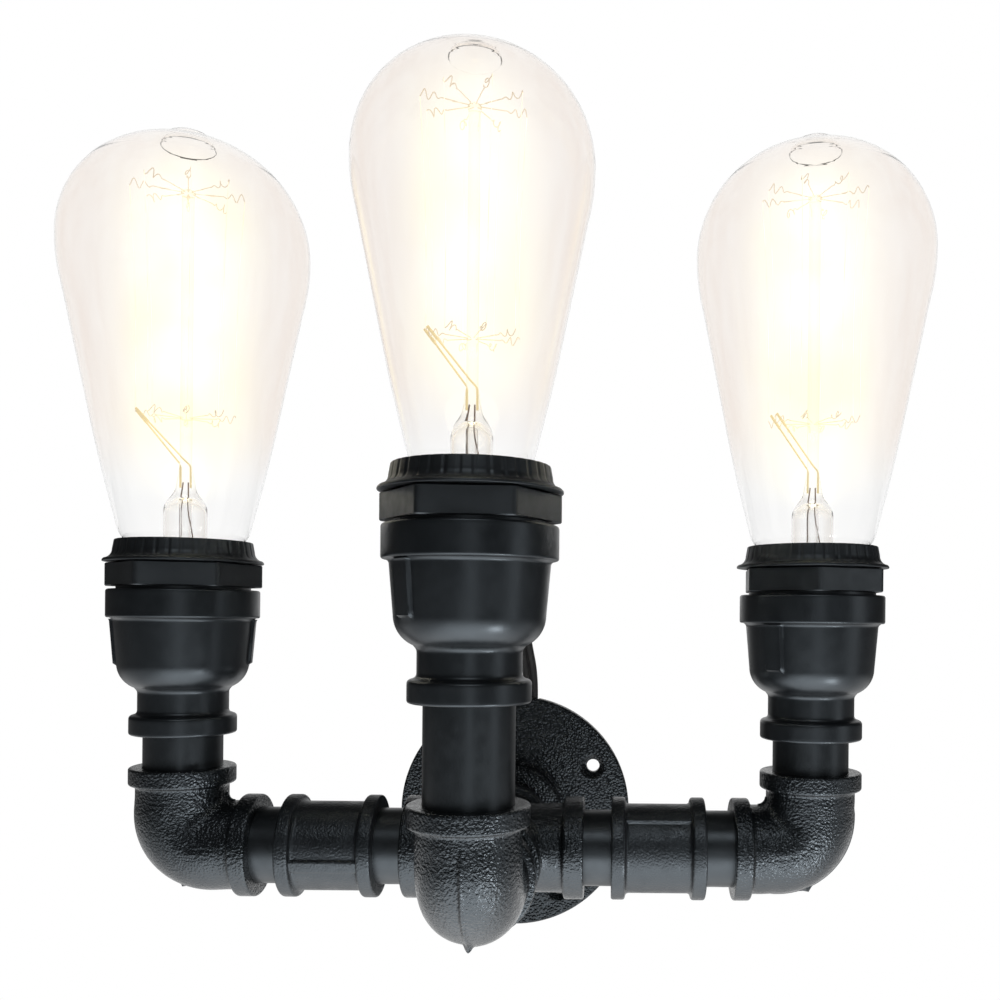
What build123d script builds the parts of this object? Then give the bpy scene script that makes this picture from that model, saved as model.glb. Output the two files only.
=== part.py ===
from build123d import *
from math import cos, radians, sin, tan
import os

# Industrial pipe wall light: threaded pipe, cast fittings and three lampholders with large
# filament bulbs. Millimetres. The wall is the plane Y = 0, the room is towards -Y, Z is up, and
# the origin is the centre of the wall plate's back.

# ---- pipe and the fits between pipe and fittings
pipe_radius = 13.35
pipe_bore_radius = 10.5
pipe_end_chamfer = 0.8
thread_clearance = 0.1          # radial, between a pipe and the socket that it screws into
thread_depth = 12.0             # how far a pipe goes into a fitting
socket_bottom_gap = 0.4         # left between the pipe's end and the socket's floor

# ---- cast fittings
fitting_radius = 15.6           # outside of a fitting's body
fitting_bore_radius = 11.3
rim_radius = 17.9               # bead round each outlet
rim_edge_round = 0.9
rim_neck_round = 1.2            # where a bead runs into the body
cross_reach = 31.5              # centre to end
cross_rim_width = 7.0
elbow_reach = 28.0
elbow_rim_width = 6.0
elbow_bend_radius = 12.0
parting_ridge_width = 1.6
parting_ridge_height = 0.4
coupling_length = 33.0
coupling_rim_width = 4.8
coupling_rib_width = 4.4
coupling_rib_height = 1.0
left_rib_angle = -15.0          # of a coupling's rib, above the level line to the front
right_rib_angle = 53.0

# ---- pipe that shows between two pieces
back_gap = 26.5
inner_gap = 9.6
outer_gap = 9.8
front_gap = 10.5
side_riser_gap = 11.6
front_riser_gap = 29.2

# ---- wall plate
plate_radius = 48.25
plate_edge_thickness = 5.6
plate_crown_thickness = 7.4
plate_edge_round = 1.2
plate_boss_radius = 20.3
plate_boss_height = 16.0
plate_boss_round = 1.5
plate_recess_radius = 44.0
plate_recess_depth = 4.2
screw_circle_radius = 38.0
screw_hole_radius = 2.75
screw_sink_radius = 6.2         # of the countersink, where the plate is thickest
screw_boss_radius = 8.0         # behind each hole, from the plate to the wall
screw_first_angle = 30.0
screw_count = 4

# ---- bell reducer
reducer_band_radius = 25.5
reducer_band_height = 10.0
reducer_band_round = 1.0
reducer_top_radius = 23.2       # of the body, just under the band
reducer_low_radius = 21.9       # of the body, where its bottom starts to turn in
reducer_body_height = 25.0
reducer_turn_height = 9.0
reducer_turn_radius = 9.5
reducer_foot_radius = 16.2      # where the body meets its neck
reducer_neck_radius = 15.15
reducer_neck_height = 9.5
reducer_foot_rise = 0.5         # slope between the neck and the body's bottom
reducer_band_slope = 1.0        # slope under the upper band
reducer_low_band_height = 6.5
reducer_low_band_round = 1.0
reducer_cavity_radius = 20.0
reducer_cavity_depth = 27.0
reducer_well_radius = 15.0      # narrower bottom of the cavity
reducer_well_depth = 4.0
reducer_rib_width = 7.0
reducer_rib_height = 1.1
reducer_rib_length = 17.0
reducer_rib_round = 1.0
reducer_rib_sink = 0.5          # how far a rib's top runs into the band
reducer_rib_turn = {"left": -75.0, "right": -45.0, "front": -46.0}    # from the front, towards +X

# ---- lampholder
holder_skirt_clearance = 0.4
holder_seat_radius = 24.0
holder_seat_height = 1.0
hex_across_flats = 48.5
hex_corner_radius = 26.15       # the corners are turned down to this
hex_height = 8.2
hex_turn = {"left": -34.0, "right": 6.0, "front": -34.0}
holder_neck_radius = 21.0
holder_neck_height = 4.6
holder_mouth_radius = 19.6
holder_mouth_depth = 2.0        # of the straight part at the mouth
holder_mouth_step = 0.8         # ledge round the screw shell's rim
holder_floor_thickness = 3.5
shell_inner_radius = 13.6
shell_wall = 0.45
shell_length = 15.5
shell_clearance = 0.1
shell_top_drop = 6.0            # from the hexagon's top down to the shell's rim
contact_width = 6.0
contact_start = -8.5            # from the lamp's axis
contact_length = 12.0
contact_thickness = 0.6
contact_rise = 2.6
contact_foot_length = 5.0       # flat end that is riveted down
contact_slope_length = 2.0
contact_rivet_radius = 1.6
contact_rivet_height = 0.6
contact_rivet_inset = 2.4

# ---- fluted shade ring
ring_clearance = 0.1
ring_lift = 0.35                # gap between the hexagon and the ring's lip
ring_lip_radius = 26.7
ring_lip_thickness = 1.1
ring_lip_slope = 0.6
ring_top_radius = 22.9
ring_flare_radius = 23.5
ring_height = 7.7
ring_flare_height = 3.2
flute_count = 36
flute_radius = 1.5
flute_depth = 0.45
flute_start = 0.5               # above the lip

# ---- bulb; a height is above the top of the shade ring and a drop is below the bulb's tip, both
# ---- for the two large bulbs
bulb_radius = 42.0
bulb_height = 146.0
belly_drop = 42.6
taper_top_radius = 39.7
taper_top_drop = 60.3
taper_low_radius = 28.3
taper_low_height = 29.0
collar_radius = 22.1
collar_height = 4.0
neck_curve_length = 7.0         # pull of the curve from the cap out to the collar
shoulder_radius = 26.6
shoulder_drop = 12.1
nub_radius = 9.4
nub_drop = 5.2
nub_lean = 0.2                  # sideways per unit of rise, where the nub starts to close
glass_thickness = 0.7
front_bulb_scale = 0.835        # the front lamp's bulb is a smaller one of the same form
cap_radius = 13.2
cap_top_drop = 9.0              # from the ring's top down to the cap's rim
cap_length = 19.8
cap_wall = 0.3
cap_slope_width = 1.5           # of the cone at the cap's bottom
cap_slope_height = 1.0
cap_lip_width = 2.0             # of the cap's turned-in edge, round the insulator's foot
cap_seat_clearance = 0.05
glass_in_cap = 3.0
insulator_height = 3.4
insulator_low_radius = 6.0
insulator_inset = 2.0           # from the cap's radius to the insulator's top
foot_radius = 4.7
foot_height = 1.4
foot_bevel = 0.8
foot_clearance = 0.3            # between the bulb's foot and the holder's contact
stem_flare_edge = 1.0
stem_flare_height = 4.0
stem_flare_extra = 1.0          # flare's radius over the tube's, at the flare's height
stem_tube_start = 8.0
stem_tube_radius = 6.8
stem_tube_taper = 0.35
stem_shoulder_height = 16.0
stem_shoulder_rise = 3.0
stem_press_radius = 3.4
stem_press_taper = 0.7
stem_press_height = 25.0
stem_press_fall = 2.0
rod_radius = 1.9
rod_top_drop = 19.0
spider_count = 8
spider_radius = 12.0
spider_low_height = 44.0
spider_high_drop = 20.0
support_wire_radius = 0.3
filament_radius = 0.35
lead_wire_radius = 0.4
lead_wire_foot_height = 26.0
lead_wire_clearance = 0.2       # between a lead wire and the rod
lead_wire_angles = (200.0, 215.0)
wire_sides = 6

# ---- wiring
strand_radius = 1.55            # one core of the flat twin lead, with its cover
strand_pitch = 3.1
web_thickness = 1.2
lead_height = 2.0               # centre of the lead in front of the wall
lead_bend_radius = 6.0
notch_clearance = 0.5
inner_lead_turn_z = 24.0        # where the lead turns straight up behind the plate
bare_end_radius = 0.65
bare_end_length = 8.0
splice_radius = 2.7
splice_length = 11.0
splice_spread = 2.75
wire_radius = 0.9

# The free end of the supply lead, from the plate's notch upwards, behind the front lamp.
lead_points = [
    (6.0, -2.0, 48.6),
    (6.0, -2.0, 57.5),
    (3.4, -3.2, 70.5),
    (0.6, -3.0, 86.0),
    (-1.2, -3.9, 103.0),
    (-0.4, -4.6, 119.0),
    (1.8, -4.2, 132.0),
]

# ---- places worked out from the sizes above
socket_radius = pipe_radius + thread_clearance
socket_depth = thread_depth + socket_bottom_gap
arm_y = -(plate_boss_height + back_gap + cross_reach)
coupling_x = cross_reach + inner_gap
elbow_end_x = coupling_x + coupling_length + outer_gap
lamp_x = elbow_end_x + elbow_reach
front_elbow_y = arm_y - cross_reach - front_gap - elbow_reach
reducer_low_height = reducer_low_band_height + reducer_neck_height
reducer_height = reducer_low_height + reducer_body_height + reducer_band_height
hex_base = holder_seat_height
hex_top = hex_base + hex_height
neck_top = hex_top + holder_neck_height
ring_base = hex_top + ring_lift
ring_top = ring_base + ring_height
shell_top = hex_top - shell_top_drop
nub_base_height = bulb_height - nub_drop
shoulder_height = bulb_height - shoulder_drop
belly_height = bulb_height - belly_drop
taper_top_height = bulb_height - taper_top_drop
rod_top_height = bulb_height - rod_top_drop
spider_high_height = bulb_height - spider_high_drop
shell_radius = shell_inner_radius + shell_wall
cap_top = ring_top - cap_top_drop
cap_base = cap_top - cap_length
insulator_base = cap_base - insulator_height
foot_base = insulator_base - foot_height
contact_top = foot_base - foot_clearance
holder_floor_top = contact_top - contact_rise
holder_base = holder_floor_top - holder_floor_thickness

# Each lamp: where its elbow stands, which way the elbow's level outlet looks, its riser's length.
lamps = {
    "left": {"x": -lamp_x, "y": arm_y, "to_arm": Vector(1, 0, 0), "gap": side_riser_gap, "bulb": 1.0},
    "right": {"x": lamp_x, "y": arm_y, "to_arm": Vector(-1, 0, 0), "gap": side_riser_gap, "bulb": 1.0},
    "front": {
        "x": 0.0,
        "y": front_elbow_y,
        "to_arm": Vector(0, 1, 0),
        "gap": front_riser_gap,
        "bulb": front_bulb_scale,
    },
}
up = Vector(0, 0, 1)

os.makedirs("parts", exist_ok=True)


def save(part, name):
    part.label = name
    export_step(part, f"parts/{name}.step")


def along(origin, direction):
    """A plane at origin that faces along direction."""
    return Plane(origin=origin, z_dir=direction)


def upright(origin, side):
    """A plane at origin that stands upright, with its X along side and its Y straight up."""
    return Plane(origin=origin, x_dir=side, z_dir=side.cross(up))


def pipe(start, direction, visible):
    """A threaded pipe that shows for the visible length and is screwed in at both ends."""
    direction = Vector(*direction)
    base = Vector(*start) - direction * thread_depth
    with BuildPart() as tube:
        with BuildSketch(along(base, direction)):
            Circle(pipe_radius)
            Circle(pipe_bore_radius, mode=Mode.SUBTRACT)
        extrude(amount=visible + 2 * thread_depth)
        outer_ends = tube.edges().filter_by(GeomType.CIRCLE).sort_by(SortBy.RADIUS)[-2:]
        chamfer(outer_ends, pipe_end_chamfer)
    return tube.part


def outlet_profile(start, reach, rim_width):
    """Half outline of one outlet, from the distance start to reach, in a plane whose Y is its axis."""
    with BuildLine() as outline:
        Polyline(
            (0, start),
            (fitting_radius, start),
            (fitting_radius, reach - rim_width - rim_neck_round),
            (rim_radius, reach - rim_width),
            (rim_radius, reach),
            (0, reach),
            close=True,
        )
    return outline.line


# ---- wall plate
with BuildPart() as wall_plate:
    with BuildSketch(Plane.XY) as half_section:
        with BuildLine():
            Polyline(
                (0, 0),
                (plate_radius, 0),
                (plate_radius, -plate_edge_thickness),
                (plate_boss_radius + plate_boss_round, -plate_crown_thickness),
                (plate_boss_radius, -plate_crown_thickness - plate_boss_round),
                (plate_boss_radius, -plate_boss_height),
                (0, -plate_boss_height),
                close=True,
            )
        make_face()
    revolve(axis=Axis.Y)
    rims = wall_plate.edges().filter_by(GeomType.CIRCLE).group_by(SortBy.RADIUS)[-1]
    fillet(rims.sort_by(Axis.Y)[0], plate_edge_round)
    boss_end = wall_plate.edges().filter_by(GeomType.CIRCLE).group_by(Axis.Y)[0]
    chamfer(boss_end, plate_boss_round)
    # the hollow back, and the thread for the first nipple
    with BuildSketch(along((0, 0, 0), (0, -1, 0))):
        Circle(plate_recess_radius)
    extrude(amount=plate_recess_depth, mode=Mode.SUBTRACT)
    with BuildSketch(along((0, 0, 0), (0, -1, 0))):
        Circle(socket_radius)
    extrude(amount=plate_boss_height, mode=Mode.SUBTRACT)
    # bosses behind the screw holes
    back_plane = Plane(origin=(0, 0, 0), x_dir=(1, 0, 0), z_dir=(0, -1, 0))
    with BuildSketch(back_plane):
        with PolarLocations(screw_circle_radius, screw_count, start_angle=screw_first_angle):
            Circle(screw_boss_radius)
    extrude(amount=plate_recess_depth)
    # notch in the rim for the supply lead
    with BuildSketch(Plane.XZ):
        with Locations((lead_points[0][0], plate_radius)):
            Rectangle(2 * (strand_pitch + notch_clearance), 4 * (plate_radius - plate_recess_radius))
    extrude(amount=lead_height + strand_radius + notch_clearance, mode=Mode.SUBTRACT)
    # countersunk screw holes
    with Locations(back_plane.offset(plate_crown_thickness)):
        with PolarLocations(screw_circle_radius, screw_count, start_angle=screw_first_angle):
            CounterSinkHole(screw_hole_radius, screw_sink_radius, depth=plate_crown_thickness)
save(wall_plate.part, "wall_plate")

# ---- cross: outlets to the back, left, right and front
cross_centre = Vector(0, arm_y, 0)
with BuildPart() as cross:
    for outward in (Vector(1, 0, 0), Vector(-1, 0, 0), Vector(0, 1, 0), Vector(0, -1, 0)):
        section = Plane(origin=cross_centre, x_dir=up, z_dir=up.cross(outward))
        with BuildSketch(section):
            add(outlet_profile(0, cross_reach, cross_rim_width))
            make_face()
        revolve(axis=Axis(cross_centre, outward))
    edges_round = cross.edges().filter_by(GeomType.CIRCLE)
    fillet(edges_round.filter_by(lambda e: abs(e.radius - rim_radius) < 0.01), rim_edge_round)
    for outward in (Vector(1, 0, 0), Vector(0, 1, 0)):
        with BuildSketch(along(cross_centre, outward)):
            Circle(fitting_bore_radius)
        extrude(amount=cross_reach, both=True, mode=Mode.SUBTRACT)
    for outward in (Vector(1, 0, 0), Vector(-1, 0, 0), Vector(0, 1, 0), Vector(0, -1, 0)):
        with BuildSketch(along(cross_centre + outward * cross_reach, outward)):
            Circle(socket_radius)
        extrude(amount=-socket_depth, mode=Mode.SUBTRACT)
save(cross.part, "cross")

save(pipe((0, -plate_boss_height, 0), (0, -1, 0), back_gap), "back_nipple")
save(pipe((0, arm_y - cross_reach, 0), (0, -1, 0), front_gap), "front_nipple")

# ---- side arms
for side, way, rib_angle in (("left", -1, left_rib_angle), ("right", 1, right_rib_angle)):
    save(pipe((way * cross_reach, arm_y, 0), (way, 0, 0), inner_gap), f"{side}_inner_nipple")
    save(
        pipe((way * (coupling_x + coupling_length), arm_y, 0), (way, 0, 0), outer_gap),
        f"{side}_outer_nipple",
    )
    coupling_start = Vector(way * coupling_x, arm_y, 0)
    outward = Vector(way, 0, 0)
    with BuildPart() as coupling:
        with BuildSketch(along(coupling_start, outward)):
            Circle(fitting_radius)
        extrude(amount=coupling_length)
        # the two ribs along the parting line
        rib_facing = Vector(0, -cos(radians(rib_angle)), sin(radians(rib_angle)))
        with BuildSketch(Plane(origin=coupling_start, x_dir=rib_facing, z_dir=outward)):
            Rectangle(2 * (fitting_radius + coupling_rib_height), coupling_rib_width)
        extrude(amount=coupling_length)
        for end in (0, coupling_length - coupling_rim_width):
            with BuildSketch(along(coupling_start + outward * end, outward)):
                Circle(rim_radius)
            extrude(amount=coupling_rim_width)
        bead_edges = coupling.edges().filter_by(GeomType.CIRCLE)
        fillet(bead_edges.filter_by(lambda e: abs(e.radius - rim_radius) < 0.01), rim_edge_round)
        with BuildSketch(along(coupling_start, outward)):
            Circle(fitting_bore_radius)
        extrude(amount=coupling_length, mode=Mode.SUBTRACT)
        for end, inward in ((0, 1), (coupling_length, -1)):
            with BuildSketch(along(coupling_start + outward * end, outward * inward)):
                Circle(socket_radius)
            extrude(amount=socket_depth, mode=Mode.SUBTRACT)
    save(coupling.part, f"{side}_coupling")


def elbow(centre, side):
    """A 90 degree elbow: one outlet along side, one straight up, joined by a tight bend."""
    mid_plane = upright(centre, side)
    bend_axis = Axis(centre + (side + up) * elbow_bend_radius, side.cross(up))
    low_plane = Plane(origin=centre + up * elbow_bend_radius, x_dir=side, z_dir=up)
    with BuildPart() as casting:
        with BuildSketch(mid_plane):
            add(outlet_profile(elbow_bend_radius, elbow_reach, elbow_rim_width))
            make_face()
        revolve(axis=Axis(centre, up))
        level_plane = Plane(origin=centre, x_dir=up, z_dir=up.cross(side))
        with BuildSketch(level_plane):
            add(outlet_profile(elbow_bend_radius, elbow_reach, elbow_rim_width))
            make_face()
        revolve(axis=Axis(centre, side))
        # the bend: the part of the round section that lies outside the bend's own axis
        with BuildSketch(low_plane):
            Circle(fitting_radius)
            with Locations((elbow_bend_radius, 0)):
                Rectangle(
                    2 * fitting_radius,
                    4 * fitting_radius,
                    align=(Align.MIN, Align.CENTER),
                    mode=Mode.SUBTRACT,
                )
        revolve(axis=bend_axis, revolution_arc=90)
        # parting ridge round the outside of the bend
        ridge = fitting_radius + parting_ridge_height
        with BuildSketch(low_plane):
            with Locations((-ridge, 0)):
                Rectangle(ridge, parting_ridge_width, align=(Align.MIN, Align.CENTER))
        revolve(axis=bend_axis, revolution_arc=90)
        rim_edges = casting.edges().filter_by(GeomType.CIRCLE)
        fillet(rim_edges.filter_by(lambda e: abs(e.radius - rim_radius) < 0.01), rim_edge_round)
        # the passage, and the threaded sockets
        with BuildSketch(low_plane):
            Circle(fitting_bore_radius)
        revolve(axis=bend_axis, revolution_arc=90, mode=Mode.SUBTRACT)
        for outward in (side, up):
            with BuildSketch(along(centre + outward * elbow_bend_radius, outward)):
                Circle(fitting_bore_radius)
            extrude(amount=elbow_reach - elbow_bend_radius, mode=Mode.SUBTRACT)
            with BuildSketch(along(centre + outward * elbow_reach, outward)):
                Circle(socket_radius)
            extrude(amount=-socket_depth, mode=Mode.SUBTRACT)
    return casting.part


def reducer(foot, rib_turn):
    """A bell reducer standing on foot: lower band, neck, rounded body and upper band."""
    section = Plane(origin=foot, x_dir=(1, 0, 0), z_dir=(0, -1, 0))
    neck_top_z = reducer_low_height
    body_top_z = neck_top_z + reducer_body_height
    top_z = reducer_height
    with BuildPart() as cup:
        with BuildSketch(section):
            with BuildLine():
                low = Polyline(
                    (0, 0),
                    (rim_radius, 0),
                    (rim_radius, reducer_low_band_height),
                    (reducer_neck_radius, reducer_low_band_height + rim_neck_round),
                    (reducer_neck_radius, neck_top_z),
                    (reducer_foot_radius, neck_top_z + reducer_foot_rise),
                )
                turn = RadiusArc(
                    low @ 1,
                    (reducer_low_radius, neck_top_z + reducer_turn_height),
                    -reducer_turn_radius,
                )
                Polyline(
                    turn @ 1,
                    (reducer_top_radius, body_top_z - reducer_band_slope),
                    (reducer_top_radius + reducer_band_slope, body_top_z),
                    (reducer_band_radius, body_top_z),
                    (reducer_band_radius, top_z),
                    (0, top_z),
                    (0, 0),
                )
            make_face()
        revolve(axis=Axis(foot, up))
        band_edges = cup.edges().filter_by(GeomType.CIRCLE)
        band_edges = band_edges.filter_by(lambda e: abs(e.radius - reducer_band_radius) < 0.01)
        fillet(band_edges, reducer_band_round)
        low_edges = cup.edges().filter_by(GeomType.CIRCLE)
        low_edges = low_edges.filter_by(lambda e: abs(e.radius - rim_radius) < 0.01)
        fillet(low_edges, reducer_low_band_round)
        # two ribs down the body, opposite each other, raised evenly from its taper
        with BuildSketch(section):
            Polygon(
                (0, neck_top_z),
                (reducer_low_radius + reducer_rib_height, neck_top_z),
                (reducer_low_radius + reducer_rib_height, neck_top_z + reducer_turn_height),
                (reducer_top_radius + reducer_rib_height, body_top_z),
                (reducer_top_radius + reducer_rib_height, body_top_z + reducer_rib_sink),
                (0, body_top_z + reducer_rib_sink),
                align=None,
            )
        rib_limit = revolve(axis=Axis(foot, up), mode=Mode.PRIVATE)
        for turn_angle in (rib_turn, rib_turn + 180):
            facing = Vector(sin(radians(turn_angle)), -cos(radians(turn_angle)), 0)
            bar_top = foot + up * (body_top_z + reducer_rib_sink)
            bar_plane = Plane(origin=bar_top, x_dir=up.cross(facing), z_dir=facing)
            with BuildSketch(bar_plane):
                with Locations((0, -reducer_rib_length / 2)):
                    RectangleRounded(reducer_rib_width, reducer_rib_length, reducer_rib_round)
            bar = extrude(amount=reducer_band_radius, mode=Mode.PRIVATE)
            add(bar & rib_limit)
        # the cavity that holds the lampholder, the passage and the threaded socket
        with BuildSketch(Plane(origin=foot + up * top_z, z_dir=(0, 0, -1))):
            Circle(reducer_cavity_radius)
        extrude(amount=reducer_cavity_depth, mode=Mode.SUBTRACT)
        with BuildSketch(Plane(origin=foot + up * top_z, z_dir=(0, 0, -1))):
            Circle(reducer_well_radius)
        extrude(amount=reducer_cavity_depth + reducer_well_depth, mode=Mode.SUBTRACT)
        with BuildSketch(Plane(origin=foot, z_dir=up)):
            Circle(fitting_bore_radius)
        extrude(amount=top_z, mode=Mode.SUBTRACT)
        with BuildSketch(Plane(origin=foot, z_dir=up)):
            Circle(socket_radius)
        extrude(amount=socket_depth, mode=Mode.SUBTRACT)
    return cup.part


def holder(seat, turn):
    """A lampholder body: skirt in the cup, seat, six-sided collar and the neck for the shade ring."""
    with BuildPart() as body:
        with BuildSketch(Plane(origin=seat + up * holder_base, z_dir=up)):
            Circle(reducer_cavity_radius - holder_skirt_clearance)
        extrude(amount=-holder_base)
        with BuildSketch(Plane(origin=seat, z_dir=up)):
            Circle(holder_seat_radius)
        extrude(amount=hex_base)
        with BuildSketch(Plane(origin=seat + up * hex_base, z_dir=up)):
            with Locations(Rotation(0, 0, turn - 90)):
                RegularPolygon(hex_across_flats / 2, 6, major_radius=False, rotation=30)
            Circle(hex_corner_radius, mode=Mode.INTERSECT)
        extrude(amount=hex_height)
        with BuildSketch(Plane(origin=seat + up * hex_top, z_dir=up)):
            Circle(holder_neck_radius)
        extrude(amount=holder_neck_height)
        # inside: a pocket for the screw shell, and a mouth that opens for the bulb's neck
        with BuildSketch(Plane(origin=seat + up * holder_floor_top, z_dir=up)):
            Circle(shell_radius + shell_clearance)
        extrude(amount=shell_top - holder_floor_top, mode=Mode.SUBTRACT)
        with BuildSketch(Plane(origin=seat, x_dir=(1, 0, 0), z_dir=(0, -1, 0))):
            with BuildLine():
                Polyline(
                    (0, shell_top),
                    (shell_radius + holder_mouth_step, shell_top),
                    (holder_mouth_radius, neck_top - holder_mouth_depth),
                    (holder_mouth_radius, neck_top),
                    (0, neck_top),
                    close=True,
                )
            make_face()
        revolve(axis=Axis(seat, up), mode=Mode.SUBTRACT)
    return body.part


def shade_ring(seat):
    """The fluted ring that flares out to a thin lip."""
    section = Plane(origin=seat, x_dir=(1, 0, 0), z_dir=(0, -1, 0))
    inner = holder_neck_radius + ring_clearance
    lip_top = ring_base + ring_lip_thickness
    with BuildPart() as ring:
        with BuildSketch(section):
            with BuildLine():
                rise = Polyline(
                    (inner, ring_base),
                    (ring_lip_radius, ring_base),
                    (ring_lip_radius, ring_base + ring_lip_thickness / 2),
                    (ring_lip_radius - ring_lip_slope, lip_top),
                )
                flare_top = (ring_flare_radius, lip_top + ring_flare_height)
                TangentArc(flare_top, rise @ 1, tangent=(0, -1))
                Polyline(
                    flare_top,
                    (ring_top_radius, ring_top),
                    (inner, ring_top),
                    (inner, ring_base),
                )
            make_face()
        revolve(axis=Axis(seat, up))
        with BuildSketch(Plane(origin=seat + up * (lip_top + flute_start), z_dir=up)):
            with PolarLocations(ring_flare_radius + flute_radius - flute_depth, flute_count):
                Circle(flute_radius)
        extrude(amount=ring_height, mode=Mode.SUBTRACT)
    return ring.part


def bulb_outline(size, grow):
    """Right half of the glass, from inside the cap up to the tip; grow moves it outwards."""
    neck_radius = cap_radius - cap_wall - cap_seat_clearance + grow
    slant = grow * cos(radians(45))
    neck_top = Vector(neck_radius, -cap_top_drop)
    collar = Vector(collar_radius * size + grow, collar_height * size)
    taper_low = Vector(taper_low_radius * size + grow, taper_low_height * size)
    taper_top = Vector(taper_top_radius * size + grow, taper_top_height * size)
    belly = Vector(bulb_radius * size + grow, belly_height * size)
    shoulder = Vector(shoulder_radius * size + slant, shoulder_height * size + slant)
    nub_side = Vector(nub_radius * size + grow, nub_base_height * size + grow)
    tip = Vector(0, bulb_height * size + grow)
    taper = (taper_low - collar).normalized()
    with BuildLine() as outline:
        Line(neck_top - Vector(0, glass_in_cap), neck_top)
        Bezier(
            neck_top,
            neck_top + Vector(0, neck_curve_length),
            collar - taper * neck_curve_length,
            collar,
        )
        Line(collar, taper_low)
        Line(taper_low, taper_top)
        TangentArc(belly, taper_top, tangent=(0, -1))
        dome = TangentArc(belly, shoulder, tangent=(0, 1))
        TangentArc(shoulder, nub_side, tangent=dome % 1)
        Spline(nub_side, tip, tangents=[(-nub_lean, 1), (-1, 0)])
    return outline.line


def glass(crown_point, size):
    """Blown glass of even thickness, standing on crown_point, the centre of the ring's top."""
    with BuildPart() as envelope:
        with BuildSketch(Plane(origin=crown_point, x_dir=(1, 0, 0), z_dir=(0, -1, 0))):
            with BuildLine():
                add(bulb_outline(size, 0.0))
                add(bulb_outline(size, -glass_thickness))
                neck_radius = cap_radius - cap_wall - cap_seat_clearance
                neck_base = -cap_top_drop - glass_in_cap
                Line((neck_radius, neck_base), (neck_radius - glass_thickness, neck_base))
                Line((0, bulb_height * size), (0, bulb_height * size - glass_thickness))
            make_face()
        revolve(axis=Axis(crown_point, up))
    return envelope.part


def cap(seat):
    """The bulb's metal screw cap: a thin tube closed in to the insulator's width."""
    with BuildPart() as shell:
        with BuildSketch(Plane(origin=seat, x_dir=(1, 0, 0), z_dir=(0, -1, 0))):
            Polygon(
                (cap_radius - cap_wall, cap_top),
                (cap_radius, cap_top),
                (cap_radius, cap_base + cap_slope_height),
                (cap_radius - cap_slope_width, cap_base),
                (insulator_low_radius + cap_lip_width, cap_base),
                (insulator_low_radius + cap_lip_width, cap_base + cap_wall),
                (cap_radius - cap_slope_width - cap_wall, cap_base + cap_wall),
                (cap_radius - cap_wall, cap_base + cap_slope_height + cap_wall),
                align=None,
            )
        revolve(axis=Axis(seat, up))
    return shell.part


def insulator(seat):
    """Black glass cone between the cap and the foot contact."""
    with BuildPart() as cone:
        with BuildSketch(Plane(origin=seat, x_dir=(1, 0, 0), z_dir=(0, -1, 0))):
            Polygon(
                (0, cap_base),
                (cap_radius - insulator_inset, cap_base),
                (insulator_low_radius, insulator_base),
                (0, insulator_base),
                align=None,
            )
        revolve(axis=Axis(seat, up))
    return cone.part


def foot(seat):
    """Solder foot of the bulb, a low dome."""
    with BuildPart() as dome:
        with BuildSketch(Plane(origin=seat + up * insulator_base, z_dir=(0, 0, -1))):
            Circle(foot_radius)
        extrude(amount=foot_height)
        chamfer(dome.faces().sort_by(Axis.Z)[0].edges(), foot_bevel)
    return dome.part


def screw_shell(seat):
    """The holder's threaded metal shell, a plain thin tube here."""
    with BuildPart() as tube:
        with BuildSketch(Plane(origin=seat + up * shell_top, z_dir=(0, 0, -1))):
            Circle(shell_radius)
            Circle(shell_inner_radius, mode=Mode.SUBTRACT)
        extrude(amount=shell_length)
    return tube.part


def centre_contact(seat):
    """Sprung tongue on the holder's floor, raised in the middle, with its rivet."""
    base = seat + up * holder_floor_top
    start = contact_start
    slope_start = start + contact_foot_length
    slope_end = slope_start + contact_slope_length
    tip = start + contact_length
    with BuildPart() as tongue:
        with BuildSketch(Plane(origin=base, x_dir=(1, 0, 0), z_dir=(0, -1, 0))):
            with BuildLine():
                Polyline(
                    (start, 0),
                    (slope_start, 0),
                    (slope_end, contact_rise - contact_thickness),
                    (tip, contact_rise - contact_thickness),
                    (tip, contact_rise),
                    (slope_end - contact_thickness, contact_rise),
                    (slope_start - contact_thickness, contact_thickness),
                    (start, contact_thickness),
                    close=True,
                )
            make_face()
        extrude(amount=contact_width / 2, both=True)
        with BuildSketch(Plane(origin=base + Vector(start + contact_rivet_inset, 0, 0), z_dir=up)):
            Circle(contact_rivet_radius)
        extrude(amount=contact_thickness + contact_rivet_height)
    return tongue.part


def stem(crown_point, size):
    """Glass stem: a flared foot, a pinch and the rod with its button on top."""
    neck_base = -cap_top_drop - glass_in_cap
    flare_radius = cap_radius - cap_wall - cap_seat_clearance - glass_thickness - cap_seat_clearance
    tube = stem_tube_radius * size
    press = stem_press_radius * size
    shoulder = stem_shoulder_height * size
    press_top = stem_press_height * size
    with BuildPart() as mount:
        with BuildSketch(Plane(origin=crown_point, x_dir=(1, 0, 0), z_dir=(0, -1, 0))):
            Polygon(
                (0, neck_base),
                (flare_radius, neck_base),
                (flare_radius, neck_base + stem_flare_edge),
                (tube + stem_flare_extra, neck_base + stem_flare_height),
                (tube, neck_base + stem_tube_start),
                (tube - stem_tube_taper, shoulder - stem_shoulder_rise),
                (press, shoulder),
                (press - stem_press_taper, press_top),
                (rod_radius * size, press_top + stem_press_fall),
                (rod_radius * size, rod_top_height * size),
                (0, rod_top_height * size),
                align=None,
            )
        revolve(axis=Axis(crown_point, up))
    return mount.part


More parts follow.
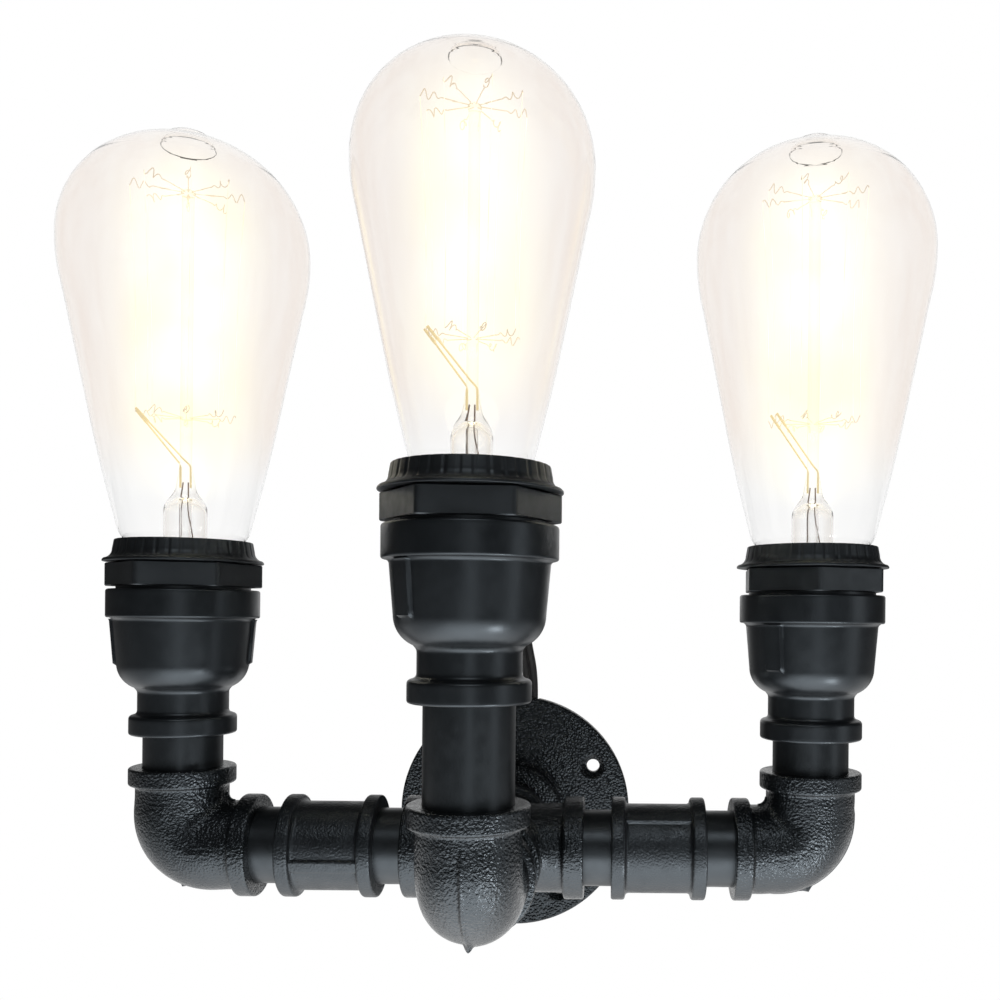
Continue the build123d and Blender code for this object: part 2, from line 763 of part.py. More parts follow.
def stem(crown_point, size):
    """Glass stem: a flared foot, a pinch and the rod with its button on top."""
    neck_base = -cap_top_drop - glass_in_cap
    flare_radius = cap_radius - cap_wall - cap_seat_clearance - glass_thickness - cap_seat_clearance
    with BuildPart() as mount:
        with BuildSketch(Plane(origin=crown_point, x_dir=(1, 0, 0), z_dir=(0, -1, 0))):
            Polygon(
                (0, neck_base),
                (flare_radius, neck_base),
                (flare_radius, neck_base + 1.0),
                (stem_tube_radius * size + 1.0, neck_base + 4.0),
                (stem_tube_radius * size, neck_base + 8.0),
                (stem_tube_radius * size * 0.95, stem_shoulder_height * size - 2.0),
                (stem_press_radius * size, stem_shoulder_height * size + 1.0),
                (stem_press_radius * size * 0.8, stem_press_height * size),
                (rod_radius * size, stem_press_height * size + 2.0),
                (rod_radius * size, rod_top_height * size),
                (0, rod_top_height * size),
                align=None,
            )
        revolve(axis=Axis(crown_point, up))
    return mount.part


def wire(start, end, radius):
    """A straight round wire with few sides."""
    run = end - start
    with BuildPart() as rod:
        with BuildSketch(Plane(origin=start, z_dir=run)):
            RegularPolygon(radius, wire_sides)
        extrude(amount=run.length)
    return rod.part


def filament(crown_point, size):
    """Two wire spiders on the rod, the filament strung between their tips, and two lead wires."""
    rod_side = rod_radius * size
    reach = spider_radius * size
    low = spider_low_height * size
    high = spider_high_height * size - support_wire_radius
    with BuildPart() as cage:
        for index in range(spider_count):
            angle = radians(360 * (index + 0.5) / spider_count)
            ray = Vector(cos(angle), sin(angle), 0)
            for level in (low, high):
                level_point = crown_point + up * level
                add(wire(level_point + ray * rod_side, level_point + ray * reach, support_wire_radius))
            bottom = crown_point + up * (low - filament_radius) + ray * reach
            top = crown_point + up * (high + filament_radius) + ray * reach
            add(wire(bottom, top, filament_radius))
        for angle in lead_wire_angles:
            ray = Vector(cos(radians(angle)), sin(radians(angle)), 0)
            foot_offset = rod_side + lead_wire_radius + lead_wire_clearance
            inner_end = crown_point + up * (lead_wire_foot_height * size) + ray * foot_offset
            outer_end = crown_point + up * low + ray * reach
            add(wire(inner_end, outer_end, lead_wire_radius))
    return cage.part


# ---- the three lamps
for side, lamp in lamps.items():
    centre = Vector(lamp["x"], lamp["y"], 0)
    riser_foot = centre + up * elbow_reach
    reducer_foot = riser_foot + up * lamp["gap"]
    seat = reducer_foot + up * reducer_height
    crown_point = seat + up * ring_top
    save(elbow(centre, lamp["to_arm"]), f"{side}_elbow")
    save(pipe(riser_foot, up, lamp["gap"]), f"{side}_riser")
    save(reducer(reducer_foot, reducer_rib_turn[side]), f"{side}_reducer")
    save(holder(seat, hex_turn[side]), f"{side}_holder")
    save(shade_ring(seat), f"{side}_ring")
    save(screw_shell(seat), f"{side}_shell")
    save(centre_contact(seat), f"{side}_contact")
    save(glass(crown_point, lamp["bulb"]), f"{side}_glass")
    save(cap(seat), f"{side}_cap")
    save(insulator(seat), f"{side}_insulator")
    save(foot(seat), f"{side}_foot")
    save(stem(crown_point, lamp["bulb"]), f"{side}_stem")
    save(filament(crown_point, lamp["bulb"]), f"{side}_filament")


def lamp_wires(centre, side, start, top):
    """Two wires side by side: level from start to the elbow, round its bend and up to top."""
    with BuildPart() as pair:
        for inset in (splice_spread, -splice_spread):
            bend = elbow_bend_radius - inset
            with BuildLine(upright(centre, side)) as route:
                Line((start, inset), (elbow_bend_radius, inset))
                CenterArc((elbow_bend_radius, elbow_bend_radius), bend, 270, -90)
                Line((inset, elbow_bend_radius), (inset, top))
            with BuildSketch(Plane(origin=route.line @ 0, z_dir=route.line % 0)):
                Circle(wire_radius)
            sweep(path=route.line)
    return pair.part


# ---- wiring: two closed-end splices in the cross, and a pair of wires to each lampholder
splice_end = splice_length / 2
with BuildPart() as splices:
    for height in (splice_spread, -splice_spread):
        with BuildSketch(along(cross_centre + Vector(0, splice_end, height), (0, -1, 0))):
            Circle(splice_radius)
        extrude(amount=splice_length)
save(splices.part, "splices")

for side, lamp in lamps.items():
    centre = Vector(lamp["x"], lamp["y"], 0)
    seat_z = elbow_reach + lamp["gap"] + reducer_height
    reach = (centre - cross_centre).length
    start = reach - (splice_end if side == "front" else splice_radius)
    save(lamp_wires(centre, lamp["to_arm"], start, seat_z + holder_base), f"{side}_wires")


def twin_section(origin, direction, wide_way):
    """Section of the flat twin lead: two round strands and the web between them."""
    with BuildSketch(Plane(origin=origin, x_dir=wide_way, z_dir=direction)) as section:
        with Locations((-strand_pitch / 2, 0), (strand_pitch / 2, 0)):
            Circle(strand_radius)
        Rectangle(strand_pitch, web_thickness)
    return section.sketch


# ---- supply lead inside the object: through the first nipple and up behind the plate
lead_exit = Vector(*lead_points[0])
turn_point = Vector(lead_exit.X, -lead_height, inner_lead_turn_z)
corner_point = Vector(0, -lead_height, 0)
lead_start = cross_centre + Vector(0, splice_end, 0)
with BuildPart() as inner_lead:
    with BuildLine() as inner_route:
        FilletPolyline(
            lead_start, corner_point, turn_point, lead_exit, radius=[lead_bend_radius, 4 * lead_bend_radius]
        )
    up_plate = turn_point - corner_point
    add(twin_section(lead_start, (0, 1, 0), up_plate.cross(Vector(0, 1, 0)) * -1))
    sweep(path=inner_route.line)
save(inner_lead.part, "inner_lead")


def corner_radii(points):
    """For each corner, 0.45 of its shorter run over the tangent of half the turn."""
    radii = []
    for before, here, after in zip(points, points[1:], points[2:]):
        run_in = here - before
        run_out = after - here
        half_turn = radians(run_in.get_angle(run_out)) / 2
        radii.append(0.45 * min(run_in.length, run_out.length) / tan(half_turn))
    return radii


# ---- the free end of the supply lead, and its two bared cores
route_points = [Vector(*point) for point in lead_points]
lead_radii = corner_radii(route_points)
with BuildPart() as supply_lead:
    with BuildLine() as lead_route:
        FilletPolyline(*route_points, radius=lead_radii)
    add(twin_section(lead_exit, lead_route.line % 0, (1, 0, 0)))
    sweep(path=lead_route.line)
save(supply_lead.part, "supply_lead")
twin_area = twin_section(lead_exit, (0, 0, 1), (1, 0, 0)).area
lead_length = lead_route.wire().length
print("lead radii", [round(radius, 1) for radius in lead_radii])
print("lead length", round(lead_length, 2))
print("lead volume over section times length", supply_lead.part.volume / (twin_area * lead_length))

end_face = supply_lead.faces().sort_by_distance(route_points[-1])[0]
with BuildPart() as lead_ends:
    for edge in end_face.edges().filter_by(GeomType.CIRCLE):
        with BuildSketch(Plane(origin=edge.arc_center, z_dir=lead_route.line % 1)):
            Circle(bare_end_radius)
        extrude(amount=bare_end_length)
save(lead_ends.part, "lead_ends")
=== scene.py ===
import bmesh
import bpy
import math
import numpy as np
from mathutils import Matrix, Vector


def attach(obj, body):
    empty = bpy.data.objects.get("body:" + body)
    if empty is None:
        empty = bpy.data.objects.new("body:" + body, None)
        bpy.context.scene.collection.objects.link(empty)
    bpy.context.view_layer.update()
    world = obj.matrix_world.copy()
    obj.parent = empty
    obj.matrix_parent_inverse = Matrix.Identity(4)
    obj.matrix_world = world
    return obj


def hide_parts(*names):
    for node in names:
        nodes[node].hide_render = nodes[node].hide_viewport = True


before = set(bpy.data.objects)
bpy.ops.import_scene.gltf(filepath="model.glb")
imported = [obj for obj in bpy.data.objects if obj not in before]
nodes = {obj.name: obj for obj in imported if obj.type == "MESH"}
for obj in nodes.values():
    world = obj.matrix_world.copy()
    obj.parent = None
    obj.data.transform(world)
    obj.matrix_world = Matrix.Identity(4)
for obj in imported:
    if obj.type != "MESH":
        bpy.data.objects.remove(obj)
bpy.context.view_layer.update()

mm = 0.001
print("frame loaded,", len(nodes), "nodes")

# ---- camera: focal length and principal point in pixels of the 1000 pixel photograph
cameraSetup = {
    "place": (0.0419, -0.4393, 0.0821),
    "focalPixels": 1023.34,
    "principal": (615.45, 617.57),
    "picture": 1000,
    "sensor": 36.0,
    "roll": 0.51,  # degrees, the picture leans clockwise
}


def linked(name, data):
    made = bpy.data.objects.new(name, data)
    bpy.context.scene.collection.objects.link(made)
    return made


def addCamera(setup):
    cameraData = bpy.data.cameras.new("camera")
    cameraData.sensor_width = setup["sensor"]
    cameraData.lens = setup["focalPixels"] / setup["picture"] * setup["sensor"]
    cameraData.shift_x = 0.5 - setup["principal"][0] / setup["picture"]
    cameraData.shift_y = setup["principal"][1] / setup["picture"] - 0.5
    cameraData.clip_start = 0.01
    camera = linked("camera", cameraData)
    lean = math.radians(setup["roll"])
    right = Vector((math.cos(lean), 0, math.sin(lean)))
    above = Vector((-math.sin(lean), 0, math.cos(lean)))
    turn = Matrix((right, above, Vector((0, -1, 0)))).transposed()
    camera.matrix_world = Matrix.Translation(setup["place"]) @ turn.to_4x4()
    bpy.context.scene.camera = camera


addCamera(cameraSetup)
bpy.context.scene.view_settings.view_transform = "Standard"
print("camera set")


# ---- surfaces
def unit(vectors):
    return vectors / np.linalg.norm(vectors, axis=-1, keepdims=True)


def around(count):
    return np.linspace(0, 2 * math.pi, count, endpoint=False)


def weldedPiece(name, patches, material, replaced=(), body="root", sharp=38.0):
    # Each patch is a grid of points in millimetres, with flags for whether its rows and its
    # columns close on themselves. The patches become one mesh without doubles; a patch whose
    # volume, summed over its faces, is negative has its faces reversed.
    points, quads, count = [], [], 0
    for grid, closeRows, closeColumns in patches:
        rows, columns = grid.shape[:2]
        index = np.arange(rows * columns).reshape(rows, columns) + count
        if closeRows:
            index = np.concatenate([index, index[:1]])
        if closeColumns:
            index = np.concatenate([index, index[:, :1]], axis=1)
        corners = (index[:-1, :-1], index[1:, :-1], index[1:, 1:], index[:-1, 1:])
        quads.append(np.stack(corners, axis=-1).reshape(-1, 4))
        points.append(grid.reshape(-1, 3))
        count += rows * columns
    points = np.concatenate(points) * mm
    patchQuads = []
    for part in quads:
        a, b, c, d = (points[part[:, k]] for k in range(4))
        middle = points[part].mean(axis=(0, 1))
        inside = np.einsum("ij,ij->i", a - middle, np.cross(b - middle, c - middle)).sum()
        inside += np.einsum("ij,ij->i", a - middle, np.cross(c - middle, d - middle)).sum()
        patchQuads.append(part if inside > 0 else part[:, ::-1])
    mesh = bpy.data.meshes.new(name)
    mesh.from_pydata(points.tolist(), [], np.concatenate(patchQuads).tolist())
    work = bmesh.new()
    work.from_mesh(mesh)
    bmesh.ops.remove_doubles(work, verts=work.verts, dist=2e-6)
    work.to_mesh(mesh)
    work.free()
    mesh.shade_smooth()
    mesh.set_sharp_from_angle(angle=math.radians(sharp))
    mesh.materials.append(material)
    piece = linked(name, mesh)
    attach(piece, body)
    if replaced:
        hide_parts(*replaced)
    return piece


def softLine(corners, cut, spacing):
    # A broken line whose inner corners become quadratic curves that start and end the distance
    # cut from the corner, with points added so that no step is longer than spacing.
    corners = np.array(corners, float)
    cut = np.broadcast_to(np.array(cut, float), len(corners) - 2)[:, None]
    legs = unit(np.diff(corners, axis=0))
    before = (corners[1:-1] - legs[:-1] * cut)[:, None]
    after = (corners[1:-1] + legs[1:] * cut)[:, None]
    t = np.linspace(0, 1, 7)[None, :, None]
    curves = (1 - t) ** 2 * before + 2 * t * (1 - t) * corners[1:-1, None] + t**2 * after
    line = np.concatenate([corners[:1], curves.reshape(-1, corners.shape[1]), corners[-1:]])
    return divided(line, spacing)


def divided(line, spacing):
    # The same line with points no further apart than spacing, and no point twice.
    steps = np.linalg.norm(np.diff(line, axis=0), axis=1)
    line = line[np.concatenate([[True], steps > 1e-6])]
    reach = np.concatenate([[0], np.cumsum(np.linalg.norm(np.diff(line, axis=0), axis=1))])
    even = np.linspace(0, reach[-1], max(2, int(reach[-1] / spacing)))
    marks = np.unique(np.concatenate([reach, even]).round(5))
    return np.stack([np.interp(marks, reach, line[:, k]) for k in range(line.shape[1])], axis=1)


def tangentArc(start, way, end, count):
    # Points of the circle that leaves start along way and passes through end.
    start, way, end = (np.array(v, float) for v in (start, way, end))
    way = unit(way)
    normal = np.array([-way[1], way[0]])
    chord = end - start
    radius = chord @ chord / (2 * chord @ normal)
    centre = start + normal * radius
    first = math.atan2(*(start - centre)[::-1])
    last = math.atan2(*(end - centre)[::-1])
    sweep = (last - first + math.pi) % (2 * math.pi) - math.pi
    angles = first + sweep * np.linspace(0, 1, count)
    ring = np.stack([np.cos(angles), np.sin(angles)], axis=1)
    return centre + abs(radius) * ring


def turned(profile, place, columns=128, shape=None):
    # A profile of (radius, height) carried round an upright axis at place. shape, where given,
    # gives the radius as a function of angle, radius and height.
    angle = around(columns)[None, :]
    radius = np.repeat(profile[:, :1], columns, axis=1)
    height = np.repeat(profile[:, 1:2], columns, axis=1)
    if shape is not None:
        radius = shape(angle, radius, height)
    x = place[0] + radius * np.cos(angle)
    y = place[1] + radius * np.sin(angle)
    return np.stack([x, y, place[2] + height], axis=-1)


def laid(grid, start, direction):
    # A grid turned about its own upright axis at the origin, laid so that up becomes direction.
    turn = Vector((0, 0, 1)).rotation_difference(Vector(direction)).to_matrix()
    return grid @ np.array(turn).T + np.array(start)


def capped(grid, line):
    # The rows with one more at either end, drawn together on the line's end points.
    ends = [np.repeat(point[None, None], grid.shape[1], axis=1) for point in (line[0], line[-1])]
    return np.concatenate([ends[0], grid, ends[1]])


def carried(line, radius, sides, reference):
    # A round section carried along a line; reference is never parallel to the line.
    line = np.array(line, float)
    way = unit(np.gradient(line, axis=0))
    across = unit(np.cross(way, reference))
    other = np.cross(way, across)
    angle = around(sides)[None, :, None]
    radius = np.broadcast_to(radius, len(line))[:, None, None]
    ring = np.cos(angle) * across[:, None] + np.sin(angle) * other[:, None]
    return capped(line[:, None] + radius * ring, line)


def profileOf(sizes, *rows):
    # Points whose two coordinates are numbers, or the names of numbers in sizes.
    return [tuple(sizes.get(value, value) for value in row) for row in rows]


def smoothStep(value, low, high):
    # 0 up to low, 1 from high on, and three t squared less two t cubed between them.
    t = np.clip((value - low) / (high - low), 0, 1)
    return t * t * (3 - 2 * t)


# ---- where the lamps stand, in millimetres: gap is how much of the riser shows, and bulb the
# bulb's scale; hex and rib are turns of the collar and the reducer's ribs, in degrees from the
# front towards +X
lampPlaces = {
    "left": {"x": -111.9, "y": -74.0, "gap": 11.6, "bulb": 1.0, "hex": 15.7, "rib": -75.0},
    "right": {"x": 111.9, "y": -74.0, "gap": 11.6, "bulb": 1.0, "hex": 25.3, "rib": -45.0},
    "front": {"x": 0.0, "y": -144.0, "gap": 29.2, "bulb": 0.835, "hex": 4.2, "rib": -46.0},
}
toArm = {"left": (1, 0, 0), "right": (-1, 0, 0), "front": (0, 1, 0)}
armY = -74.0
elbowReach = 28.0
reducerTop = 51.0
ringTop = 17.25


def seatHeight(lamp):
    return elbowReach + lamp["gap"] + reducerTop


def bulbFoot(lamp):
    return (lamp["x"], lamp["y"], seatHeight(lamp) + ringTop)


# ---- materials
def newMaterial(name):
    material = bpy.data.materials.new(name)
    material.use_nodes = True
    material.node_tree.nodes.clear()
    return material, material.node_tree


def addNode(tree, kind, inputs=None, **settings):
    # A node's outputs; each of its inputs takes a value, or a link where it is given an output.
    made = tree.nodes.new("ShaderNode" + kind)
    for key, value in settings.items():
        setattr(made, key, value)
    for key, value in (inputs or {}).items():
        if isinstance(value, bpy.types.NodeSocket):
            tree.links.new(value, made.inputs[key])
        else:
            made.inputs[key].default_value = value
    return made.outputs


def objectPlace(tree):
    return addNode(tree, "TexCoord")["Object"]


def calculated(tree, operation, first, second=0.0):
    return addNode(tree, "Math", {0: first, 1: second}, operation=operation)[0]


def noise(tree, source, scale, detail=3.0, roughness=0.55):
    inputs = {"Vector": source, "Scale": scale, "Detail": detail, "Roughness": roughness}
    return addNode(tree, "TexNoise", inputs)["Fac"]


def spread(tree, source, fromLow, fromHigh, toLow=0, toHigh=1):
    # The first range carried over to the second, and held at its ends.
    inputs = {"Value": source, "From Min": fromLow, "From Max": fromHigh}
    inputs.update({"To Min": toLow, "To Max": toHigh})
    return addNode(tree, "MapRange", inputs)["Result"]


def lengthOf(tree, vector):
    return addNode(tree, "VectorMath", {0: vector}, operation="LENGTH")["Value"]


def blended(tree, factor, low, high):
    inputs = {"Factor": factor, "A": low, "B": high}
    return addNode(tree, "Mix", inputs, data_type="RGBA")["Result"]


def principled(tree, inputs, volume=None):
    parts = {"Surface": addNode(tree, "BsdfPrincipled", inputs)["BSDF"]}
    if volume is not None:
        parts["Volume"] = volume
    addNode(tree, "OutputMaterial", parts)


def painted(name, look):
    # Paint, metal or plastic: two close colours in patches, a gloss that changes from place to
    # place, and bumps: pebbles as (scale, smoothness, depth) and grain as (scale, detail, depth),
    # with depths in millimetres.
    material, tree = newMaterial(name)
    place = objectPlace(tree)
    patches = spread(tree, noise(tree, place, look["patchScale"], 4.0), 0.38, 0.62)
    gloss = noise(tree, place, look["glossScale"])
    layers = []
    if "pebble" in look:
        scale, smoothness, depth = look["pebble"]
        inputs = {"Vector": place, "Scale": scale, "Smoothness": smoothness}
        cells = addNode(tree, "TexVoronoi", inputs, feature="SMOOTH_F1")["Distance"]
        layers.append((spread(tree, cells, 0.0, 0.75, 1, 0), depth))
    for scale, detail, depth in look["bumps"]:
        layers.append((noise(tree, place, scale, detail, 0.5), depth))
    normal = None
    for height, depth in layers:
        inputs = {"Strength": 1.0, "Distance": depth * mm, "Height": height}
        if normal is not None:
            inputs["Normal"] = normal
        normal = addNode(tree, "Bump", inputs)["Normal"]
    principled(tree, {
        "Base Color": blended(tree, patches, (*look["colour"], 1), (*look["second"], 1)),
        "Roughness": spread(tree, gloss, 0.35, 0.65, *look["roughness"]),
        "Metallic": look.get("metallic", 0.0),
        "IOR": look.get("ior", 1.5),
        "Specular Tint": (*look.get("shine", (1.0, 1.0, 1.0)), 1),
        "Normal": normal,
    })
    return material


coolShine = (0.78, 0.90, 1.0)
finishKeys = ("colour", "second", "patchScale", "roughness", "glossScale", "bumps")
finishLooks = {
    "cast_paint": (
        (0.0026, 0.0032, 0.0036), (0.0044, 0.0052, 0.006), 60, (0.15, 0.27), 260,
        [(190, 2.0, 0.1), (1150, 1.0, 0.36), (2000, 1.0, 0.1)], {"shine": coolShine},
    ),
    "pipe_paint": (
        (0.0037, 0.0044, 0.0049), (0.0056, 0.0063, 0.0071), 90, (0.3, 0.4), 220,
        [(1800, 2.0, 0.018)], {"shine": coolShine},
    ),
    "reducer_paint": (
        (0.0037, 0.0044, 0.0052), (0.005, 0.0059, 0.0069), 50, (0.3, 0.38), 160,
        [(140, 2.0, 0.07), (2200, 1.0, 0.012)], {"shine": coolShine},
    ),
    "coupling_paint": (
        (0.0039, 0.0046, 0.0054), (0.0059, 0.0067, 0.0078), 70, (0.28, 0.42), 170,
        [(260, 2.0, 0.1), (1250, 1.0, 0.2)], {"shine": coolShine},
    ),
    "plate_paint": (
        (0.0022, 0.0027, 0.0031), (0.0036, 0.0042, 0.0048), 45, (0.24, 0.34), 130,
        [(300, 2.0, 0.05)], {"ior": 1.4, "shine": coolShine, "pebble": (980, 0.15, 0.52)},
    ),
    "holder_plastic_dark": (
        (0.005, 0.0056, 0.0062), (0.0066, 0.0073, 0.008), 80, (0.36, 0.46), 260,
        [(2600, 1.0, 0.012)], {"shine": coolShine},
    ),
    "brass_strip": (
        (0.66, 0.46, 0.2), (0.55, 0.37, 0.16), 300, (0.24, 0.38), 500,
        [(1500, 2.0, 0.01)], {"metallic": 1.0},
    ),
    "cap_tin": (
        (0.62, 0.61, 0.58), (0.5, 0.5, 0.48), 300, (0.22, 0.36), 500,
        [(1500, 2.0, 0.01)], {"metallic": 1.0},
    ),
    "copper_core": (
        (0.72, 0.36, 0.2), (0.6, 0.28, 0.15), 400, (0.25, 0.4), 700,
        [(2500, 2.0, 0.01)], {"metallic": 1.0},
    ),
    "solder_grey": (
        (0.42, 0.42, 0.43), (0.32, 0.32, 0.34), 400, (0.35, 0.55), 700,
        [(600, 2.0, 0.05)], {"metallic": 1.0},
    ),
    "lead_cover": (
        (0.012, 0.012, 0.013), (0.018, 0.018, 0.019), 200, (0.4, 0.52), 300,
        [(1600, 2.0, 0.02)], {},
    ),
    "splice_cover": (
        (0.55, 0.53, 0.48), (0.48, 0.46, 0.42), 200, (0.4, 0.52), 300,
        [(900, 2.0, 0.03)], {},
    ),
    "dark_glass": (
        (0.01, 0.01, 0.012), (0.016, 0.016, 0.018), 200, (0.08, 0.14), 300,
        [(300, 1.0, 0.03)], {},
    ),
    "feed_wire": (
        (0.2, 0.12, 0.08), (0.12, 0.08, 0.06), 400, (0.35, 0.5), 700,
        [(2500, 2.0, 0.01)], {"metallic": 0.2},
    ),
}
finish = {}
for name, row in finishLooks.items():
    finish[name] = painted(name, {**dict(zip(finishKeys, row)), **row[-1]})

glassLook = {
    "goldFace": (0.970, 0.953, 0.936),
    # the two edge colours are painted shade: what the glass darkens to where it is seen edge on
    "goldEdgeShade": (0.920, 0.870, 0.832),
    "greyFace": (0.986, 0.986, 0.984),
    "greyEdgeShade": (0.925, 0.925, 0.925),
    "goldFrom": (0.128, 0.150),  # heights in metres between which the gold film fades in
    "clearFrom": (0.235, 0.245),  # and between which the painted edge shade fades out below the nub
    "rim": (0.02, 0.62),  # from face on to edge on, where the painted edge shade's colour comes in
    "streaks": 0.55,
    "streakScale": 160,
    "streakLength": 0.06,
    "ior": 1.20,
}


def filmedGlass(name, look):
    # Glass with a gold film above and none below, with painted shade that deepens its colour
    # where it is seen edge on, in upright streaks.
    material, tree = newMaterial(name)
    place = objectPlace(tree)
    height = addNode(tree, "SeparateXYZ", {"Vector": place})["Z"]
    gold = spread(tree, height, *look["goldFrom"])
    scale = (1, 1, look["streakLength"])
    stretched = addNode(tree, "Mapping", {"Vector": place, "Scale": scale})["Vector"]
    streak = noise(tree, stretched, look["streakScale"], 2.0)
    deep = spread(tree, streak, 0.35, 0.65, 1 - look["streaks"])
    facing = addNode(tree, "LayerWeight", {"Blend": 0.5})["Facing"]
    # painted shade: the colour deepens towards the outline, where the glass is seen edge on
    edge = calculated(tree, "MULTIPLY", spread(tree, facing, *look["rim"]), deep)
    edge = calculated(tree, "MULTIPLY", edge, spread(tree, height, *look["clearFrom"], 1, 0))
    face = blended(tree, gold, (*look["greyFace"], 1), (*look["goldFace"], 1))
    rim = blended(tree, gold, (*look["greyEdgeShade"], 1), (*look["goldEdgeShade"], 1))
    colour = blended(tree, edge, face, rim)
    clear = {"Roughness": 0.0, "IOR": look["ior"], "Transmission Weight": 1.0}
    principled(tree, {"Base Color": colour, **clear})
    return material


stemLook = {
    **glassLook,
    "goldFace": (0.985, 0.970, 0.930),
    # the stem's own colours of painted shade where it is seen edge on
    "goldEdgeShade": (0.90, 0.85, 0.76),
    "greyEdgeShade": (0.84, 0.81, 0.78),
    "ior": 1.22,
}
bulbGlass = filmedGlass("bulb_glass_film", glassLook)
stemGlass = filmedGlass("stem_glass", stemLook)


def glowing(name, colour, strength, dimmer):
    # A wire that shines, a little brighter and dimmer along its length: on the hot strands their own
    # light, on the support and lead wires a painted glow for the filament's light falling on them.
    material, tree = newMaterial(name)
    along = noise(tree, objectPlace(tree), 90, 2.0)
    principled(tree, {
        "Base Color": (0.2, 0.15, 0.1, 1),
        "Roughness": 0.6,
        "Emission Color": (*colour, 1),
        "Emission Strength": spread(tree, along, 0.35, 0.65, strength * dimmer, strength),
    })
    return material


# The support and lead wires are no lamp: their shine is painted light, for the filament's light on
# them.
supportWirePaintedGlow = glowing("support_wire", (1.0, 0.89, 0.72), 0.58, 0.8)
leadWirePaintedGlow = glowing("lead_wire", (1.0, 0.84, 0.42), 0.62, 0.8)
hotWire = glowing("hot_filament", (1.0, 0.92, 0.72), 1.3, 0.7)

glowLook = {
    "colour": (1.0, 0.95, 0.80), "strength": 22.0, "warmth": 42.0,
    "warm": (1.0, 0.95, 0.50), "cloudScale": 34, "clouds": (0.42, 0.64),
    "reach": 34.0,  # in millimetres, like the heights above the bulb's foot that follow
    "low": 14.0, "top": 143.0, "fade": 30.0,
}


def glowVolume(name, lamp, look):
    # The light round the filament: a clear surface with a faintly shining inside, strongest on
    # the axis, which dims blue in patches.
    material, tree = newMaterial(name)
    place = objectPlace(tree)
    foot = tuple(-value * mm for value in bulbFoot(lamp))
    local = addNode(tree, "Mapping", {"Vector": place, "Location": foot})["Vector"]
    axes = addNode(tree, "SeparateXYZ", {"Vector": local})
    flat = addNode(tree, "CombineXYZ", {"X": axes["X"], "Y": axes["Y"]})["Vector"]
    away = lengthOf(tree, flat)
    size = lamp["bulb"] * mm
    reach, low, top, fade = (look[key] * size for key in ("reach", "low", "top", "fade"))
    core = spread(tree, away, reach, 0)
    rise = spread(tree, axes["Z"], low, low + fade)
    fall = spread(tree, axes["Z"], top, top - fade)
    share = core
    for factor in (core, rise, fall):
        share = calculated(tree, "MULTIPLY", share, factor)
    warmth = look["warmth"]
    clouds = noise(tree, place, look["cloudScale"], 2.0)
    patches = spread(tree, clouds, *look["clouds"], 0.3 * warmth, warmth)
    strength = calculated(tree, "MULTIPLY", share, look["strength"])
    density = calculated(tree, "MULTIPLY", share, patches)
    shine = addNode(tree, "Emission", {"Color": (*look["colour"], 1), "Strength": strength})
    dim = addNode(tree, "VolumeAbsorption", {"Color": (*look["warm"], 1), "Density": density})
    both = addNode(tree, "AddShader", {0: shine["Emission"], 1: dim["Volume"]})
    principled(tree, {"Base Color": (*look["colour"], 1), "Alpha": 0.0}, both[0])
    return material


print("materials made")

# ---- supply lead: the route's points are part.py's, in metres
leadSizes = {
    "points": [
        (0.0060, -0.0020, 0.0486),
        (0.0060, -0.0020, 0.0575),
        (0.0034, -0.0032, 0.0705),
        (0.0006, -0.0030, 0.0860),
        (-0.0012, -0.0039, 0.1030),
        (-0.0004, -0.0046, 0.1190),
        (0.0018, -0.0042, 0.1320),
    ],
    "strandRadius": 1.55,
    "strandPitch": 3.1,
    "webThickness": 1.2,
    "length": 0.0842,
}


def leadRoute(sizes):
    # The line of a NURBS spline through the route's points, read back as points.
    curve = bpy.data.curves.new("leadRoute", "CURVE")
    curve.dimensions = "3D"
    spline = curve.splines.new("NURBS")
    spline.points.add(len(sizes["points"]) - 1)
    for point, place in zip(spline.points, sizes["points"]):
        point.co = (*place, 1)
    spline.order_u = 3
    spline.use_endpoint_u = True
    curve.resolution_u = 16
    holder = linked("leadRoute", curve)
    line = bpy.data.meshes.new_from_object(holder)
    points = np.empty(len(line.vertices) * 3)
    line.vertices.foreach_get("co", points)
    bpy.data.objects.remove(holder)
    return points.reshape(-1, 3)


def supplyLead(sizes):
    # Two round strands with a thin web between, as one closed outline carried along the route.
    route = leadRoute(sizes)
    way = unit(np.gradient(route, axis=0))
    wide = unit(np.array([1.0, 0, 0]) - way * way[:, :1])
    thin = np.cross(way, wide)
    radius, half = sizes["strandRadius"], sizes["strandPitch"] / 2
    notch = math.asin(sizes["webThickness"] / 2 / radius)
    turn = np.linspace(-math.pi + notch, math.pi - notch, 22)
    right = np.stack([half + radius * np.cos(turn), radius * np.sin(turn)], axis=1)
    outline = np.concatenate([right, -right])[:, None, :] * mm
    section = outline[None, :, 0, :1] * wide[:, None] + outline[None, :, 0, 1:] * thin[:, None]
    grid = capped(route[:, None] + section, route) / mm
    patches = [(grid, False, True)]
    piece = weldedPiece("lead", patches, finish["lead_cover"], ["supply_lead"], sharp=50)


supplyLead(leadSizes)
print("lead made")

# ---- castings: outlets with a bead, joined round a bend
fittingSizes = {
    "body": 15.6, "rim": 17.9, "rimSlope": 0.4, "neckRun": 3.2, "socket": 13.45,
    "socketDepth": 12.4, "bore": 11.3, "rimRound": 0.9, "neckRound": 1.15,
    "outsideRows": 44, "passageRows": 22,
}
legRows = 6  # how many of a bend's rows are on each of its straight legs


def beadProfile(sizes, rimWidth):
    # Outside of an outlet as (distance from its end, radius), from the socket's mouth inwards.
    slope, run = rimWidth + sizes["rimSlope"], rimWidth + sizes["neckRun"]
    rows = [(0, "socket"), (0, "rim"), (rimWidth, "rim"), (slope, "body"), (run, "body")]
    edge, neck = sizes["rimRound"], sizes["neckRound"]
    return softLine(profileOf(sizes, *rows), [edge, edge, neck], 0.8)


